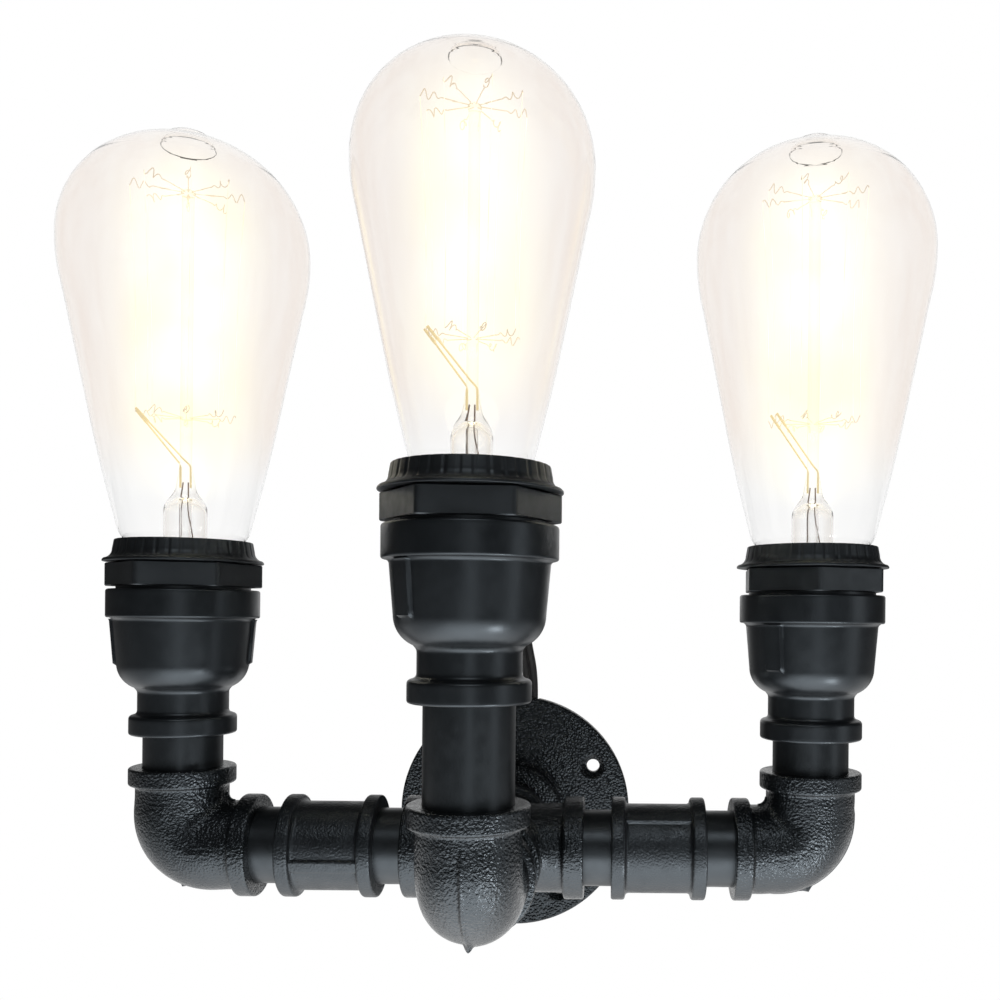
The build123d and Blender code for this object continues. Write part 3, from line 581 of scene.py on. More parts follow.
def outletRows(profile, reach, angle, along, across, out):
    # Rows of one outlet: each (distance from the end, radius) carried round the line along, with
    # the angle measured from across.
    distance = (reach - profile[:, 0])[:, None, None]
    inPlane = (profile[:, 1:] * np.cos(angle))[..., None]
    outOfPlane = (profile[:, 1:] * np.sin(angle))[..., None]
    return distance * along + inPlane * across + outOfPlane * out


def bendRows(radius, angle, bend, start, a, b, n):
    # Rows between two outlets. At each angle the line runs along a at its own offset towards b,
    # round an arc of radius bend, and along b; start is where the outlets' own rows stop.
    # radius gives the surface's radius for each row and angle.
    offset = radius * np.cos(angle)
    t = np.linspace(0, 1, legRows + 1)[1:, None]
    quarter = np.linspace(0, math.pi / 2, len(radius) - 2 * legRows + 2)[1:-1, None]
    first, middle, last = offset[:legRows], offset[legRows:-legRows], offset[-legRows:]
    alongA = np.concatenate([
        start + (first + bend - start) * t,
        middle + bend * (1 - np.sin(quarter)),
        last,
    ])
    alongB = np.concatenate([
        first,
        middle + bend * (1 - np.cos(quarter)),
        start + (last + bend - start) * t[::-1],
    ])
    outOfPlane = radius * np.sin(angle)
    return alongA[..., None] * a + alongB[..., None] * b + outOfPlane[..., None] * n


def cornerPatch(sizes, reach, rimWidth, angle, a, b, outerBend, innerBend, raised=0.0):
    # Closed rows: along the outside from one outlet to the other, and back through the passage.
    # raised is how far the bend's outside stands out at each row and angle.
    a, b = np.array(a, float), np.array(b, float)
    n = np.cross(a, b)
    bead = beadProfile(sizes, rimWidth)
    radius = np.full((sizes["outsideRows"], len(angle)), sizes["body"]) + raised
    step = np.array(profileOf(sizes, ("socketDepth", "socket"), ("socketDepth", "bore")))
    boreRadius = np.full((sizes["passageRows"], len(angle)), sizes["bore"])
    return np.concatenate([
        outletRows(bead, reach, angle, a, b, n),
        bendRows(radius, angle, outerBend, reach - bead[-1, 0], a, b, n),
        outletRows(bead, reach, angle, b, a, n)[::-1],
        outletRows(step, reach, angle, b, a, n),
        bendRows(boreRadius, angle, innerBend, reach - sizes["socketDepth"], a, b, n)[::-1],
        outletRows(step, reach, angle, a, b, n)[::-1],
    ])


elbowSizes = {
    "rimWidth": 6.0, "bend": 12.0, "innerRound": 2.5, "seamHeight": 0.50, "seamWidth": 0.6,
    "halfStep": 0.24,  # one half of the casting stands a little over the other
    "stepWidth": 0.5,
    "crowding": 0.3,  # draws the columns together at the two seams
    "leastBend": 0.7, "gateHeight": 1.1, "gateRadius": 1.3, "gateTurn": 22.0,
    "columns": 200,
}


def elbowPiece(side, lamp, sizes, fitting):
    # The outside's bend is a soft maximum of the room left at each angle and the inner round: half
    # of room plus the root of room squared plus four. On it stand a bell-shaped seam all round, a
    # step between the halves, and the gate's flat-topped stub on the outside.
    even = around(sizes["columns"])
    angle = even - sizes["crowding"] * np.sin(2 * even)
    body, rows = fitting["body"], fitting["outsideRows"]
    inward = body * np.cos(angle)
    beside = body * np.sin(angle)
    room = sizes["bend"] - inward - sizes["innerRound"]
    outerBend = (room + np.sqrt(room**2 + 4)) / 2 + sizes["innerRound"]
    innerBend = np.maximum(sizes["bend"] - fitting["bore"] * np.cos(angle), sizes["leastBend"])
    fade = np.clip(np.minimum(np.arange(rows), np.arange(rows)[::-1]) / 4, 0, 1)[:, None]
    seam = sizes["seamHeight"] * np.exp(-((beside / sizes["seamWidth"]) ** 2))
    proud = sizes["halfStep"] * np.tanh(beside / sizes["stepWidth"]) * (inward < 0)
    quarter = np.linspace(0, 90, rows - 2 * legRows + 2)[1:-1]
    turn = np.concatenate([np.zeros(legRows), quarter, np.full(legRows, 90)])
    away = np.radians(turn - sizes["gateTurn"])[:, None] * (sizes["bend"] + body)
    gate = np.exp(-((away**2 + beside**2) / sizes["gateRadius"] ** 2) ** 2) * (inward < 0)
    raised = fade * (seam + proud) + sizes["gateHeight"] * gate
    ways, bends = (toArm[side], (0, 0, 1)), (outerBend, innerBend)
    grid = cornerPatch(fitting, elbowReach, sizes["rimWidth"], angle, *ways, *bends, raised)
    grid = grid + np.array([lamp["x"], lamp["y"], 0])
    weldedPiece(f"{side}Elbow", [(grid, True, True)], finish["cast_paint"], [f"{side}_elbow"])


crossSizes = {"reach": 31.5, "rimWidth": 7.0, "outerRound": 4.5, "innerRound": 1.0, "columns": 90}


def crossPiece(sizes, fitting):
    # Four corners, each half a turn wide; their bends shrink to nothing where they meet on top.
    angle = np.linspace(-math.pi / 2, math.pi / 2, sizes["columns"])
    bends = [sizes[key] * np.abs(np.cos(angle)) for key in ("outerRound", "innerRound")]
    ways = [(1, 0, 0), (0, 1, 0), (-1, 0, 0), (0, -1, 0)]
    patches = []
    for a, b in zip(ways, ways[1:] + ways[:1]):
        patch = cornerPatch(fitting, sizes["reach"], sizes["rimWidth"], angle, a, b, *bends)
        patches.append((patch + np.array([0, armY, 0]), True, False))
    weldedPiece("armCross", patches, finish["cast_paint"], ["cross"])


for side, lamp in lampPlaces.items():
    elbowPiece(side, lamp, elbowSizes, fittingSizes)
crossPiece(crossSizes, fittingSizes)
print("castings made")

# ---- pipes; each end stands in its socket by the length of the thread
pipeSizes = {"radius": 13.35, "bore": 10.5, "chamfer": 0.8, "thread": 12.0, "columns": 96}
pipeLengths = {"back": 26.5, "front": 10.5, "inner": 9.6, "outer": 9.8}  # between the fittings


def pipePiece(name, start, way, visible, node, sizes):
    # A tube turned from a profile with chamfered ends, laid along way from start.
    low, high, edge = -sizes["thread"], visible + sizes["thread"], sizes["chamfer"]
    face = sizes["radius"] - edge
    outside = [(face, low), ("radius", low + edge), ("radius", high - edge), (face, high)]
    line = profileOf(sizes, ("bore", low), *outside, ("bore", high))
    grid = turned(divided(np.array(line, float), 2.0), (0, 0, 0), sizes["columns"])
    weldedPiece(name, [(laid(grid, start, way), True, True)], finish["pipe_paint"], [node])


plateBossHeight = 16.0
forward = (0, -1, 0)
crossReach = crossSizes["reach"]
for end, start in (("back", -plateBossHeight), ("front", armY - crossReach)):
    pipePiece(f"{end}Pipe", (0, start, 0), forward, pipeLengths[end], f"{end}_nipple", pipeSizes)
for side, lamp in lampPlaces.items():
    foot = (lamp["x"], lamp["y"], elbowReach)
    pipePiece(f"{side}Riser", foot, (0, 0, 1), lamp["gap"], f"{side}_riser", pipeSizes)

# ---- couplings on the side arms, each between two short pipes
couplingSizes = {
    "start": 41.1, "length": 33.0, "rimWidth": 4.8, "ribWidth": 4.4, "ribHeight": 1.0,
    "ribEdge": 0.35,
    "ribAngle": {"left": -15.0, "right": 53.0},  # above the level line to the front
    "neckRound": 1.2, "columns": 240,
}


def couplingPiece(side, way, sizes, fitting):
    # A profile with a rim at both ends, turned, with two flat ribs: where the distance beside the
    # line through both is under half their width, the body's radius is larger by their height.
    length, rim, body = sizes["length"], sizes["rimWidth"], fitting["body"]
    depth, slope, turn = fitting["socketDepth"], fitting["rimSlope"], fitting["rimRound"]
    neck = sizes["neckRound"]
    low = [("socket", 0), ("rim", 0), ("rim", rim), ("body", rim + slope)]
    high = [("body", length - rim - slope), ("rim", length - rim)]
    high += [("rim", length), ("socket", length)]
    outside = softLine(profileOf(fitting, *low, *high), [turn, turn, neck, neck, turn, turn], 0.9)
    back = [("socket", length - depth), ("bore", length - depth), ("bore", depth), ("socket", depth)]
    tilt = math.radians(sizes["ribAngle"][side])
    facing = math.atan2(-math.cos(tilt), -way * math.sin(tilt))

    def ribbed(angle, radius, height):
        beside = np.abs(radius * np.sin(angle - facing))
        half, edge = sizes["ribWidth"] / 2, sizes["ribEdge"]
        rib = 1 - smoothStep(beside, half - edge, half + edge)
        onBody = (radius > body - 0.01) & (height > rim) & (height < length - rim)
        return np.where(onBody, np.maximum(radius, body + sizes["ribHeight"] * rib), radius)

    profile = np.concatenate([outside, profileOf(fitting, *back)])
    grid = turned(profile, (0, 0, 0), sizes["columns"], ribbed)
    grid = laid(grid, (way * sizes["start"], armY, 0), (way, 0, 0))
    patches = [(grid, True, True)]
    weldedPiece(f"{side}Coupling", patches, finish["coupling_paint"], [f"{side}_coupling"])


for side, way in (("left", -1), ("right", 1)):
    couplingPiece(side, way, couplingSizes, fittingSizes)
    couplingEnd = couplingSizes["start"] + couplingSizes["length"]
    for kind, start in (("inner", crossReach), ("outer", couplingEnd)):
        name, node = f"{side}{kind.title()}Pipe", f"{side}_{kind}_nipple"
        place = (way * start, armY, 0)
        pipePiece(name, place, (way, 0, 0), pipeLengths[kind], node, pipeSizes)
print("arms made")

# ---- bell reducers
reducerSizes = {
    "band": 25.5, "bodyTop": 23.2, "bodyLow": 21.9, "neck": 15.15, "foot": 16.2,
    "rim": 17.9, "rimHeight": 6.5, "neckTop": 16.0, "turnTop": 25.0, "bandBase": 41.0,
    "top": reducerTop, "cavity": 20.0, "cavityFloor": 24.0, "well": 15.0, "wellFloor": 20.0,
    "ribWidth": 7.0, "ribHeight": 1.1, "ribLow": 24.5, "ribRound": 1.2, "ribEdge": 0.35,
    "columns": 320,
}


def reducerPiece(side, lamp, sizes, fitting):
    # A turned bell: rim and neck, an arc out to the taper, the band, and back through the cup. Its
    # two ribs run from the band down, with rounded lower corners, raised evenly from the taper
    # where the distance outside their outline is negative.
    known = {**fitting, **sizes}
    neckTop, bandBase = sizes["neckTop"], sizes["bandBase"]
    foot = (sizes["foot"], neckTop + 0.5)
    shoulder = ("neck", sizes["rimHeight"] + 0.9)
    rows = [("socket", 0), ("rim", 0), ("rim", "rimHeight"), shoulder, ("neck", neckTop - 0.8), foot]
    low = softLine(profileOf(known, *rows), [1.0, 1.0, 1.2, 0.7], 0.9)
    taper = (sizes["bodyLow"], sizes["turnTop"])
    turn = tangentArc(foot, (0.916, 0.40), taper, 16)
    under = [("bodyTop", bandBase - 0.8), (sizes["bodyTop"] + 0.9, bandBase)]
    rows = [taper, *under, ("band", bandBase), ("band", "top"), ("cavity", "top")]
    high = softLine(profileOf(known, *rows), [0.5, 0.4, 0.9, 1.0], 0.8)
    cup = [("cavity", "cavityFloor"), ("well", "cavityFloor"), ("well", "wellFloor")]
    hole = [("bore", "wellFloor"), ("bore", "socketDepth"), ("socket", "socketDepth")]
    inside = profileOf(known, *cup, *hole)
    facing = math.radians(lamp["rib"]) - math.pi / 2
    corner, soft = sizes["ribRound"], sizes["ribEdge"]

    def ribbed(angle, radius, height):
        beside = np.abs(radius * np.sin(angle - facing))
        sideways = np.maximum(beside - sizes["ribWidth"] / 2 + corner, 0)
        below = np.maximum(sizes["ribLow"] + corner - height, 0)
        rib = 1 - smoothStep(np.hypot(sideways, below) - corner, -soft, soft)
        onBody = (radius > sizes["cavity"] + 0.5) & (height < bandBase - 0.4)
        return np.where(onBody, radius + sizes["ribHeight"] * rib, radius)

    place = (lamp["x"], lamp["y"], elbowReach + lamp["gap"])
    grid = turned(np.concatenate([low, turn[1:-1], high, inside]), place, sizes["columns"], ribbed)
    patches = [(grid, True, True)]
    weldedPiece(f"{side}Reducer", patches, finish["reducer_paint"], [f"{side}_reducer"])


# ---- lampholders, with a six-sided collar
holderSizes = {
    "skirt": 19.6, "base": -22.75, "seat": 22.3, "hexBase": 1.0, "hexTop": 9.2,
    "flats": 45.8, "corner": 26.15, "bevel": 0.35, "neck": 21.0, "neckTop": 13.8,
    "mouth": 19.6, "mouthLow": 11.8, "ledge": 14.85, "ledgeHeight": 3.2, "pocket": 14.15,
    "floor": -19.25, "columns": 288,
}


def holderPiece(side, lamp, sizes):
    # A turned body whose collar has six sides: where the profile is wider than the seat, the radius
    # is half the flats over the cosine of the angle from the middle of a side, less the bevel.
    corner, bevel = sizes["corner"], sizes["bevel"]
    edge = corner - bevel
    skirt = [(0, "base"), ("skirt", "base"), ("skirt", 0), ("seat", 0), ("seat", "hexBase")]
    lowEdge = [(edge, "hexBase"), ("corner", sizes["hexBase"] + bevel)]
    highEdge = [("corner", sizes["hexTop"] - bevel), (edge, "hexTop")]
    neck = [("neck", "hexTop"), ("neck", "neckTop"), ("mouth", "neckTop"), ("mouth", "mouthLow")]
    well = [("ledge", "ledgeHeight"), ("pocket", "ledgeHeight"), ("pocket", "floor"), (0, "floor")]
    line = profileOf(sizes, *skirt, *lowEdge, *highEdge, *neck, *well)
    facing = math.radians(lamp["hex"]) - math.pi / 2

    def sixSided(angle, radius, height):
        local = (angle - facing + math.pi / 6) % (math.pi / 3) - math.pi / 6
        flat = sizes["flats"] / 2 / np.cos(local)
        toSide = np.minimum(flat, corner) - (corner - radius)
        return np.where(radius > sizes["seat"] + 1, toSide, radius)

    place = (lamp["x"], lamp["y"], seatHeight(lamp))
    grid = turned(divided(np.array(line, float), 1.6), place, sizes["columns"], sixSided)
    patches = [(grid, False, True)]
    plastic = finish["holder_plastic_dark"]
    weldedPiece(f"{side}Holder", patches, plastic, [f"{side}_holder"], sharp=22)


# ---- fluted shade rings
ringSizes = {
    "inner": 21.1, "base": 9.55, "lip": 26.7, "lipThickness": 1.1, "flare": 23.5,
    "flareTop": 13.85, "crown": 22.9, "top": ringTop, "flutes": 36, "fluteRadius": 1.5,
    "fluteDepth": 0.20, "columns": 504,
}


def ringPiece(side, lamp, sizes):
    # A turned lip, sweep and crown, with round grooves cut above the lip: each is as deep as a
    # circle of the flute's radius reaches past the flare.
    base, lipTop = sizes["base"], sizes["base"] + sizes["lipThickness"]
    lipEdge = (sizes["lip"] - 0.5, lipTop)
    rows = [("inner", base), ("lip", base), ("lip", base + 0.6), lipEdge]
    lip = softLine(profileOf(sizes, *rows), [0.2, 0.25], 0.5)
    sweep = tangentArc((sizes["flare"], sizes["flareTop"]), (0, -1), lipEdge, 12)[::-1]
    top = [("flare", "flareTop"), ("crown", "top"), (sizes["inner"] + 0.6, "top")]
    rows = [*top, ("inner", sizes["top"] - 0.4), ("inner", base + 0.1)]
    crown = softLine(profileOf(sizes, *rows), [0.4, 0.2, 0.2], 0.6)
    profile = divided(np.concatenate([lip, sweep[1:-1], crown]), 0.45)

    def fluted(angle, radius, height):
        pitch = 2 * math.pi / sizes["flutes"]
        local = (angle + pitch / 2) % pitch - pitch / 2
        wide = np.clip(sizes["fluteRadius"] ** 2 - (sizes["flare"] * local) ** 2, 0, None)
        groove = np.maximum(np.sqrt(wide) - (sizes["fluteRadius"] - sizes["fluteDepth"]), 0)
        rise = smoothStep(height, lipTop + 0.1, lipTop + 1.2)
        return np.where(radius > sizes["inner"] + 0.8, radius - groove * rise, radius)

    place = (lamp["x"], lamp["y"], seatHeight(lamp))
    patches = [(turned(profile, place, sizes["columns"], fluted), True, True)]
    weldedPiece(f"{side}Ring", patches, finish["holder_plastic_dark"], [f"{side}_ring"], sharp=50)


for side, lamp in lampPlaces.items():
    reducerPiece(side, lamp, reducerSizes, fittingSizes)
    holderPiece(side, lamp, holderSizes)
    ringPiece(side, lamp, ringSizes)
print("reducers, holders and rings made")

# ---- bulbs; heights are above the top of the shade ring
bulbSizes = {
    "neck": 12.85, "neckBase": -12.0, "neckTop": -9.0, "collar": (22.1, 4.0),
    "taperLow": (28.3, 29.0), "taperTop": (39.7, 85.7), "belly": (41.97, 103.4),
    "shoulder": (26.6, 133.9), "nubSide": (9.4, 140.8), "tip": 146.0, "neckPull": 7.0,
    "taperRound": 12.0, "wall": 0.45, "columns": 128,
}


def cubic(pulls, count):
    # Points of the cubic curve that four points pull, the first and last of them its ends.
    t = np.linspace(0, 1, count)[:, None]
    weights = ((1 - t) ** 3, 3 * t * (1 - t) ** 2, 3 * t**2 * (1 - t), t**3)
    return sum(weight * point for weight, point in zip(weights, pulls))


def bulbOutline(size, sizes):
    # Neck, collar, straight taper, belly and dome arcs, and the nub, from the cap up to the tip.
    places = {key: np.array(value) * size for key, value in sizes.items()}
    collar, taperLow, taperTop = places["collar"], places["taperLow"], places["taperTop"]
    belly, shoulder, nubSide = places["belly"], places["shoulder"], places["nubSide"]
    neckTop, pull = np.array([sizes["neck"], sizes["neckTop"]]), sizes["neckPull"]
    taper = unit(taperLow - collar)
    neck = cubic((neckTop, neckTop + np.array([0, pull]), collar - taper * pull, collar), 16)
    side = softLine([collar, taperLow, taperTop], sizes["taperRound"] * size, 2.0)
    lowArc = tangentArc(belly, (0, -1), taperTop, 12)[::-1]
    dome = tangentArc(belly, (0, 1), shoulder, 26)
    crown = tangentArc(shoulder, dome[-1] - dome[-2], nubSide, 10)
    tip = np.array([0, sizes["tip"] * size])
    rise = tip[1] - nubSide[1]
    leave, arrive = nubSide + np.array([-0.2, 1]) * rise * 0.7, tip + np.array([rise * 1.1, 0])
    nub = cubic((nubSide, leave, arrive, tip), 14)
    start = np.array([[sizes["neck"], sizes["neckBase"]]])
    line = np.concatenate([start, neck, side[1:-1], lowArc, dome[1:], crown[1:], nub[1:]])
    return divided(line, 1.6)


def insideOf(line, wall):
    # The same outline moved inwards by wall along its own normals.
    way = unit(np.gradient(line, axis=0))
    inner = line + wall * np.stack([-way[:, 1], way[:, 0]], axis=1)
    inner[:, 0] = np.clip(inner[:, 0], 0, None)
    inner[-1, 0] = 0
    return inner


def clearPiece(name, patches, material, replaced, side, sharp):
    # A piece that turns with the bulb and lets light by without a shadow.
    piece = weldedPiece(name, patches, material, replaced, f"{side}_bulb", sharp)
    piece.visible_shadow = False


def bulbPiece(side, lamp, sizes):
    # The outline up the outside and back down inside, turned.
    outline = bulbOutline(lamp["bulb"], sizes)
    profile = np.concatenate([outline, insideOf(outline, sizes["wall"])[::-1]])
    patches = [(turned(profile, bulbFoot(lamp), sizes["columns"]), True, True)]
    clearPiece(f"{side}Bulb", patches, bulbGlass, [f"{side}_glass"], side, 30)


# ---- inside each bulb: stem, exhaust tube, wires and filament
stemSizes = {
    "flare": 12.0, "tube": 7.3, "wall": 0.7, "shoulder": 17.0, "press": 2.9,
    "pressTop": 25.5, "rod": 2.1, "rodTop": 126.0, "button": 2.9, "exhaust": 2.1,
    "exhaustWall": 0.5, "foot": -10.0, "columns": 48, "exhaustColumns": 24,
}


def stemPiece(side, lamp, sizes):
    # A hollow flared tube, pinched shut over the exhaust tube, with a rod and a button on top.
    size = lamp["bulb"]
    tube, press, rod = (sizes[key] * size for key in ("tube", "press", "rod"))
    shoulder, pressTop, rodTop = (sizes[key] * size for key in ("shoulder", "pressTop", "rodTop"))
    wall = sizes["wall"]
    inside = [(0, shoulder - wall - 1.0), (press, shoulder - wall - 1.5), (tube - wall, shoulder - 5.0)]
    skirt = [(tube - wall, -4.0), (sizes["flare"] - wall, -11.0), (sizes["flare"], -11.0)]
    outside = [(tube + 0.6, -5.0), (tube, -1.0), (tube, shoulder - 4.0), (press * 1.25, shoulder + 0.6)]
    top = [(press, pressTop - 3.0), (rod, pressTop + 1.5), (rod, rodTop - 2.6)]
    button = [(sizes["button"] * size, rodTop - 1.3), (0, rodTop)]
    rounds = [0.8, 2.0, 2.5, 0.3, 0.3, 2.0, 1.5, 2.4, 1.6, 1.2, 1.2, 0.8, 1.2]
    line = softLine([*inside, *skirt, *outside, *top, *button], rounds, 1.4)
    grid = turned(line, bulbFoot(lamp), sizes["columns"])
    outer, inner = sizes["exhaust"] * size, sizes["exhaust"] * size - sizes["exhaustWall"]
    low, high = sizes["foot"], shoulder - 3.0
    pipeLine = np.array([(inner, low), (outer, low), (outer, high), (inner, high)])
    exhaust = turned(pipeLine, bulbFoot(lamp), sizes["exhaustColumns"])
    patches = [(grid, False, True), (exhaust, True, True)]
    clearPiece(f"{side}Stem", patches, stemGlass, [f"{side}_stem"], side, 60)


filamentSizes = {
    "spokes": 8, "lowRadius": 16.5, "highRadius": 19.0, "low": 44.0, "high": 124.5,
    "support": 0.16, "wave": 1.25, "strand": 0.11, "lead": 0.30,
    "leadTurns": (196.0, 210.0), "leadLow": 19.0, "leadFoot": 27.0, "leadTop": 46.0,
    "leadReach": 16.5, "leadFeet": (-1.5, 1.5), "crimp": 4.5, "feed": 0.20,
    "waves": (34, 29), "shifts": (1.7, 2.3),  # up and down, and sideways
}


def ray(turn):
    return np.array([math.cos(turn), math.sin(turn), 0])


def wavingSpoke(place, out, turn, level, phases, size, sizes):
    # A wire out from the rod that waves more and more, by a sine up and down and a cosine
    # sideways, and rises a little; out is the distance from the axis at each point.
    t = np.linspace(0, 1, len(out))
    swing = sizes["wave"] * size * smoothStep(t, 0.5, 0.85)
    upright, sideways = (t * wave + phase for wave, phase in zip(sizes["waves"], phases))
    drift = 0.8 * swing * np.cos(sideways)
    line = place + out[:, None] * ray(turn) + drift[:, None] * ray(turn + math.pi / 2)
    line[:, 2] += level * size + swing * np.sin(upright) + 0.8 * size * t
    return line


def filamentPieces(side, lamp, sizes):
    # Spokes that wave and hook at their tips, hot strands strung between them, two lead wires.
    size = lamp["bulb"]
    place = np.array(bulbFoot(lamp))
    t = np.linspace(0, 1, 64)
    spokes, strands, leads, feeds = [], [], [], []
    start = stemSizes["rod"] * size * 0.7
    levels = ((sizes["low"], sizes["lowRadius"], 0.0), (sizes["high"], sizes["highRadius"], 1.3))
    for index in range(sizes["spokes"]):
        turn = 2 * math.pi * (index + 0.5) / sizes["spokes"]
        tips = []
        for level, reach, phase in levels:
            out = start + (reach * size - start) * t
            phases = [index * shift + phase for shift in sizes["shifts"]]
            line = wavingSpoke(place, out, turn, level, phases, size, sizes)
            spokes.append((carried(line, sizes["support"], 6, (0.0, 0.0, 1.0)), False, True))
            tips.append(line[-1])
        bow = np.sin(math.pi * t)[:, None] * ray(turn) * 0.9 * size
        strand = tips[0] + (tips[1] - tips[0]) * t[:, None] - bow
        across = tuple(ray(turn + math.pi / 2))
        strands.append((carried(strand, sizes["strand"], 6, across), False, True))
    low, top = sizes["leadLow"], sizes["leadTop"] * size
    for turn, foot in zip(sizes["leadTurns"], sizes["leadFeet"]):
        end = ray(math.radians(turn)) * sizes["leadReach"] * size + np.array([0, 0, top])
        x, bend = foot * size, sizes["leadFoot"] * size
        line = softLine([(x, 0, low * size), (x, 0, bend), tuple(end)], 1.0, 1.0) + place
        # thicker over the last few millimetres, where the wire is crimped round the strand
        crimped = top - sizes["crimp"] * size
        crimp = smoothStep(line[:, 2] - place[2], crimped, crimped + 0.5 * size)
        thick = sizes["lead"] * (1 + 0.5 * crimp)
        leads.append((carried(line, thick, 10, (0.35, 0.93, 0.1)), False, True))
        corners = [
            (foot * 2.2 * size, 0, -9.0),
            (foot * 1.4 * size + 0.6, 0, 2.0),
            (foot * 0.9 * size - 0.5, 0, 10.0 * size),
            (foot * 0.5 * size, 0, (low + 2) * size),
        ]
        line = softLine(corners, 3.0, 1.0) + place
        feeds.append((carried(line, sizes["feed"], 8, (0.1, 0.99, 0.0)), False, True))
    body = f"{side}_bulb"
    # the supports and lead wires shine with painted light, the strands with the filament's own light
    weldedPiece(f"{side}Supports", spokes, supportWirePaintedGlow, [f"{side}_filament"], body, 60)
    weldedPiece(f"{side}Strands", strands, hotWire, (), body, 60)
    weldedPiece(f"{side}LeadWires", leads, leadWirePaintedGlow, (), body, 60)
    weldedPiece(f"{side}FeedWires", feeds, finish["feed_wire"], (), body, 60)


glowSizes = {"gap": 1.0, "low": -8.0, "columns": 48}


def glowPiece(side, lamp, sizes):
    # The space inside the glass; its material shines round the filament and fades out before it.
    profile = insideOf(bulbOutline(lamp["bulb"], bulbSizes), bulbSizes["wall"] + sizes["gap"])
    profile = profile[profile[:, 1] > sizes["low"]]
    profile = np.concatenate([[[0, profile[0, 1]]], profile])
    grid = turned(profile, bulbFoot(lamp), sizes["columns"])
    haze = glowVolume(f"{side}_glow", lamp, glowLook)
    clearPiece(f"{side}Glow", [(grid, False, True)], haze, (), side, 60)


for side, lamp in lampPlaces.items():
    bulbPiece(side, lamp, bulbSizes)
    stemPiece(side, lamp, stemSizes)
    filamentPieces(side, lamp, filamentSizes)
    glowPiece(side, lamp, glowSizes)
print("bulbs made")

# ---- finishes of the CAD pieces that stay
nodeFinish = {
    "wall_plate": "plate_paint",
    "splices": "splice_cover",
    "inner_lead": "lead_cover",
    "lead_ends": "copper_core",
}
sideFinish = {
    "shell": "brass_strip",
    "contact": "brass_strip",
    "wires": "lead_cover",
    "cap": "cap_tin",
    "insulator": "dark_glass",
    "foot": "solder_grey",
}
for side in lampPlaces:
    nodeFinish.update({f"{side}_{part}": material for part, material in sideFinish.items()})
for name, material in nodeFinish.items():
    for slot in nodes[name].material_slots:
        slot.material = finish[material]
print("finishes set")

# ---- light, floor and background; places in metres, power in watts
lightSizes = {
    "below": {"at": (0.02, -0.45, -0.28), "size": (0.90, 1.10), "aim": (0.02, -0.45, 0), "power": 4.5},
    "right": {"at": (0.95, -0.45, 0.15), "size": (0.50, 0.90), "aim": (0, -0.09, 0.06), "power": 0.9},
    "front": {"at": (0.16, -1.15, 0.02), "size": (0.36, 0.60), "aim": (0, -0.09, 0.04), "power": 0.45},
    "glint": {"at": (0.30, -0.36, -0.26), "size": (0.16, 0.20), "aim": (0, -0.15, 0), "power": 0.9},
    "top": {"at": (0.05, -0.90, 0.92), "size": (0.80, 0.60), "aim": (0, -0.09, 0.02), "power": 2.4},
}


def softEdges(lamp):
    # Strength falls to nothing at the lamp's edges: sine of pi times each of its own coordinates.
    lamp.use_nodes = True
    tree = lamp.node_tree
    tree.nodes.clear()
    place = addNode(tree, "NewGeometry")["Parametric"]
    axes = addNode(tree, "SeparateXYZ", {"Vector": place})
    turns = [spread(tree, axes[axis], 0, 1, 0, math.pi) for axis in ("X", "Y")]
    waves = [calculated(tree, "SINE", turn) for turn in turns]
    strength = spread(tree, calculated(tree, "MULTIPLY", *waves), 0, 1, 0, 2.5)
    shine = addNode(tree, "Emission", {"Strength": strength})
    addNode(tree, "OutputLight", {"Surface": shine["Emission"]})


def addLights(setup):
    for name, light in setup.items():
        lamp = bpy.data.lights.new(name, "AREA")
        lamp.shape = "RECTANGLE"
        lamp.size, lamp.size_y = light["size"]
        lamp.energy = light["power"]
        softEdges(lamp)
        holder = linked(name, lamp)
        holder.location = light["at"]
        holder.rotation_mode = "QUATERNION"
        way = Vector(light["aim"]) - Vector(light["at"])
        holder.rotation_quaternion = way.to_track_quat("-Z", "Y")
        holder.visible_camera = False
        holder.visible_transmission = False


bulbLight = {"power": 0.03, "colour": (1.0, 0.88, 0.66), "radius": 0.010, "height": 40.0}


def addBulbLight(side, lamp, look):
    # The lit filament's own light on the ring and cup below it.
    shine = bpy.data.lights.new(f"{side}BulbLight", "POINT")
    shine.energy = look["power"] * lamp["bulb"]
    shine.color = look["colour"]
    shine.shadow_soft_size = look["radius"]
    x, y, foot = bulbFoot(lamp)
    holder = linked(f"{side}BulbLight", shine)
    holder.location = (x * mm, y * mm, (foot + look["height"] * lamp["bulb"]) * mm)
    holder.visible_camera = False
    holder.visible_transmission = False


def background(tree, strength):
    inputs = {"Color": (1, 1, 1, 1), "Strength": strength}
    return addNode(tree, "Background", inputs)[0]


def shaderMix(tree, share, first, second):
    return addNode(tree, "MixShader", {"Fac": share, 1: first, 2: second})[0]


def anyOf(tree, first, *others):
    for other in others:
        first = calculated(tree, "MAXIMUM", first, other)
    return first


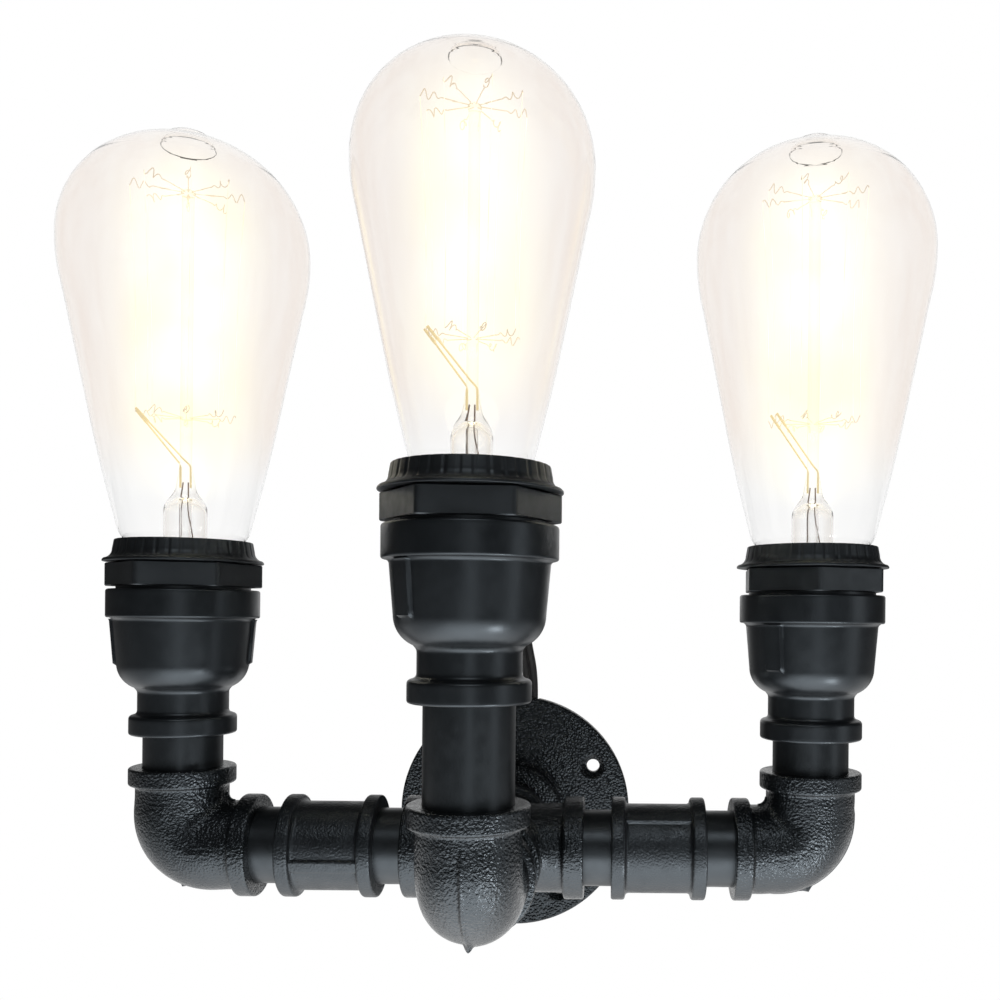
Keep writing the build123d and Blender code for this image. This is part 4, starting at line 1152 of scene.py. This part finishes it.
def addWorld(fill, seen, glossFront):
    # White where the camera looks, straight, through clear glass or by a sharp mirror; an even fill
    # for everything else; for reflections white behind the object and dimmer behind the camera.
    world = bpy.data.worlds.new("studio")
    bpy.context.scene.world = world
    world.use_nodes = True
    tree = world.node_tree
    tree.nodes.clear()
    path = addNode(tree, "LightPath")
    way = addNode(tree, "TexCoord")["Generated"]
    ahead = addNode(tree, "SeparateXYZ", {"Vector": way})["Y"]
    reflected = background(tree, spread(tree, ahead, 0.75, 1.0, glossFront, seen))
    lit = shaderMix(tree, path["Is Glossy Ray"], background(tree, fill), reflected)
    clear = anyOf(tree, path["Is Camera Ray"], path["Is Transmission Ray"], path["Is Singular Ray"])
    addNode(tree, "OutputWorld", {"Surface": shaderMix(tree, clear, lit, background(tree, seen))})


floorSizes = {
    "height": -0.30, "half": 6.0, "colour": 0.86,
    "pallor": 0.6,  # how white it is shown under the object
    "white": (0.18, 0.50),  # distances between which that grows to fully white
    "mirrored": (0.9, 1.7),  # and between which reflections stop seeing it white
}


def addFloor(sizes):
    # A pale floor that keeps the object's shadow near it and is plain white further out.
    half, height, pale = sizes["half"], sizes["height"], sizes["colour"]
    signs = ((-1, -1), (1, -1), (1, 1), (-1, 1))
    corners = [(x * half, y * half, height) for x, y in signs]
    mesh = bpy.data.meshes.new("floor")
    mesh.from_pydata(corners, [], [(0, 1, 2, 3)])
    material, tree = newMaterial("floor")
    away = lengthOf(tree, objectPlace(tree))
    path = addNode(tree, "LightPath")
    near = spread(tree, away, *sizes["mirrored"], 1, 0)
    glossy = calculated(tree, "MULTIPLY", path["Is Glossy Ray"], near)
    seen = anyOf(tree, path["Is Camera Ray"], path["Is Transmission Ray"], glossy)
    bright = spread(tree, away, *sizes["white"], sizes["pallor"], 1)
    share = calculated(tree, "MULTIPLY", bright, seen)
    ground = addNode(tree, "BsdfDiffuse", {"Color": (pale, pale, pale, 1)})[0]
    white = addNode(tree, "Emission", {"Color": (1, 1, 1, 1)})[0]
    addNode(tree, "OutputMaterial", {"Surface": shaderMix(tree, share, ground, white)})
    mesh.materials.append(material)
    floor = linked("floor", mesh)


addLights(lightSizes)
for side, lamp in lampPlaces.items():
    addBulbLight(side, lamp, bulbLight)
addWorld(fill=0.20, seen=1.0, glossFront=0.05)
addFloor(floorSizes)
print("lights, background and floor set")

print("all pieces made")
